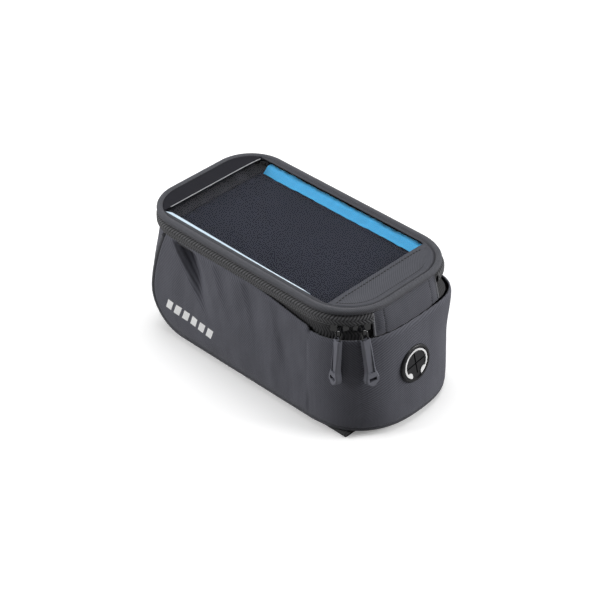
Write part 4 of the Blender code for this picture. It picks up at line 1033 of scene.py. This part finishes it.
def strap_pieces():
    thick = 0.0012
    run, turn = 2 * STRAP_REACH, pi * (STRAP_HALF - thick / 2)
    whole = 2 * (run + turn)
    for name, centre in (("rear", STRAP_X[0]), ("front", STRAP_X[1])):

        def place(u, v):
            s = u * whole
            radius = STRAP_HALF
            if s < run:
                y, z = -STRAP_REACH + s, 0.0
            elif s < run + turn:
                a = pi * (s - run) / turn
                y, z = STRAP_REACH + radius * sin(a), radius - radius * cos(a)
            elif s < 2 * run + turn:
                y, z = STRAP_REACH - (s - run - turn), 2 * radius
            else:
                a = pi * (s - 2 * run - turn) / turn
                y, z = -STRAP_REACH - radius * sin(a), radius + radius * cos(a)
            return Vector((centre + STRAP_WIDTH * (v - 0.5), y, z))

        size = (whole, STRAP_WIDTH)
        strap = laid_sheet(f"{name}_webbing", (220, 24), size, place, WEBBING, thick, closed=True)
        dress(strap, "bag", "webbing", f"{name}_strap")

        def patch_place(u, v):
            rise = 0.0002 * min(1.0, 14 * min(u, 1 - u, v, 1 - v))
            return Vector((centre + 0.020 * (u - 0.5), 0.034 * (v - 0.5), 0.0033 - rise))

        patch = laid_sheet(f"{name}_patch", (24, 40), (0.020, 0.034), patch_place, WEBBING, 0.0008, side=-1)
        dress(patch, "bag", "webbing", f"{name}_strap_patch")


def print_bars(wall):
    """Slanted bars of plain reflective print, laid on the long wall."""
    bm = bmesh.new()
    bmesh.ops.create_grid(bm, x_segments=6 * 9, y_segments=10, size=0.5)
    gaps = [face for face in bm.faces if (int((face.calc_center_median().x + 0.5) * 54) % 9) > 5]
    bmesh.ops.delete(bm, geom=gaps, context="FACES")
    laid = BVHTree.FromObject(wall, bpy.context.evaluated_depsgraph_get())
    for vert in bm.verts:
        u, v = vert.co.x + 0.5, vert.co.y + 0.5
        start = Vector((-0.0720 + 0.0450 * u + 0.0030 * (v - 0.5), -0.08, 0.0215 + 0.0075 * v - 0.0030 * u))
        place, normal = laid.ray_cast(start, Vector((0, 1, 0)))[:2]
        vert.co = place + normal * 0.00012
    piece = link_mesh("reflective_bars", bm, WHITE_PRINT)
    return dress(piece, "bag", "white_print")


# ---------------------------------------------------------------- the making

TWILL = twill_group()
HERRINGBONE = herringbone_group()
GRAIN = grain_group()

WALL_CLOTH = twill_cloth(
    "wall twill", (0.050, 0.051, 0.064), (0.118, 0.120, 0.146), rib=0.0015, slant=wall_slant
)
FRONT_CLOTH = twill_cloth("front twill", (0.050, 0.051, 0.064), (0.118, 0.120, 0.146), rib=0.0015, slant=0.5)
FOLD_CLOTH = twill_cloth("fold twill", (0.040, 0.041, 0.052), (0.092, 0.094, 0.115), rib=0.0012, slant=-0.12)
WELT_CLOTH = twill_cloth("welt twill", (0.030, 0.031, 0.036), (0.098, 0.100, 0.116), rib=0.0010, slant=0.7)
HEM_CLOTH = twill_cloth("hem cloth", (0.028, 0.029, 0.035), (0.052, 0.053, 0.063), rib=0.0007, depth=0.00005)
FAR_CLOTH = twill_cloth(
    "far panel cloth", (0.012, 0.012, 0.015), (0.020, 0.020, 0.026), rib=0.0007, depth=0.00004, sheen=0.0, gloss=0.15
)
PANEL_CLOTH = twill_cloth(
    "panel weave", (0.026, 0.027, 0.034), (0.078, 0.081, 0.098), rib=0.0011, slant=0.9, depth=0.00008, rough=0.60
)
EDGING_CLOTH = twill_cloth("edging tape", (0.110, 0.112, 0.124), (0.190, 0.192, 0.208), rib=0.0007, depth=0.00006)
LINING_CLOTH = moulded(
    "navy lining", (0.006, 0.007, 0.013), 0.75, size=0.0012, depth=0.00003, dust=0.0, gloss=0.1
)
BLUE_CLOTH = twill_cloth("blue lining", (0.030, 0.330, 0.660), (0.070, 0.480, 0.840), rib=0.0006, depth=0.00004)
ELASTIC_CLOTH = twill_cloth(
    "ribbed elastic", (0.006, 0.006, 0.008), (0.036, 0.036, 0.043), rib=0.034, slant=40.0, sheen=0.0, gloss=0.1
)
WEBBING = twill_cloth("strap webbing", (0.010, 0.010, 0.011), (0.034, 0.034, 0.037), rib=0.0015, slant=0.0)
TAPE_CLOTH = tape_cloth("zip tape", (0.003, 0.003, 0.004), (0.110, 0.110, 0.117))
# Same weave as the zip tape, darker: painted shade where the lower tape lies under the lid.
SHADED_TAPE_CLOTH = tape_cloth("lower zip tape painted shade", (0.004, 0.004, 0.005), (0.036, 0.036, 0.040))
COIL_PLASTIC = moulded("zip coil", (0.012, 0.012, 0.013), 0.35, dust=0.0)
DARK_THREAD = thread_cloth("dark thread", (0.006, 0.006, 0.007))
# The film edge and film line colours are painted highlights, not colours of the film.
FILM_EDGE_HIGHLIGHT = moulded("film edge painted highlight", (0.560, 0.680, 0.800), 0.22, size=0.002, dust=0.0)
FILM_LINE_HIGHLIGHT = moulded("film line painted highlight", (0.260, 0.265, 0.280), 0.25, size=0.002, dust=0.0)
WHITE_PRINT = moulded("reflective print", (0.860, 0.860, 0.860), 0.40, dust=0.0)

set_camera()
set_studio()
set_floor()
body_pieces()
lid_pieces()
fold_pieces()
zip_pieces()
strap_pieces()

CAD_FINISH = {
    "earphone_grommet": moulded("grommet rubber", (0.010, 0.010, 0.012), 0.38),
    "grommet_washer": moulded("washer rubber", (0.020, 0.020, 0.022), 0.50),
    "headphone_sign": moulded("white paint", (0.90, 0.90, 0.90), 0.45, dust=0.0),
    "base_board": moulded("board plastic", (0.030, 0.030, 0.032), 0.55),
    "window": clear_film(),
}
for name in ("slider_a", "slider_b", "pull_wire_a", "pull_wire_b"):
    CAD_FINISH[name] = moulded("black enamel", (0.004, 0.004, 0.005), 0.16, dust=0.0, coat=1.0)
for name in ("pull_tab_a", "pull_tab_b"):
    CAD_FINISH[name] = moulded("pull rubber", (0.112, 0.114, 0.136), 0.45)
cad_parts["window"].visible_shadow = False
for name, material in CAD_FINISH.items():
    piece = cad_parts[name]
    piece.data.materials.clear()
    piece.data.materials.append(material)
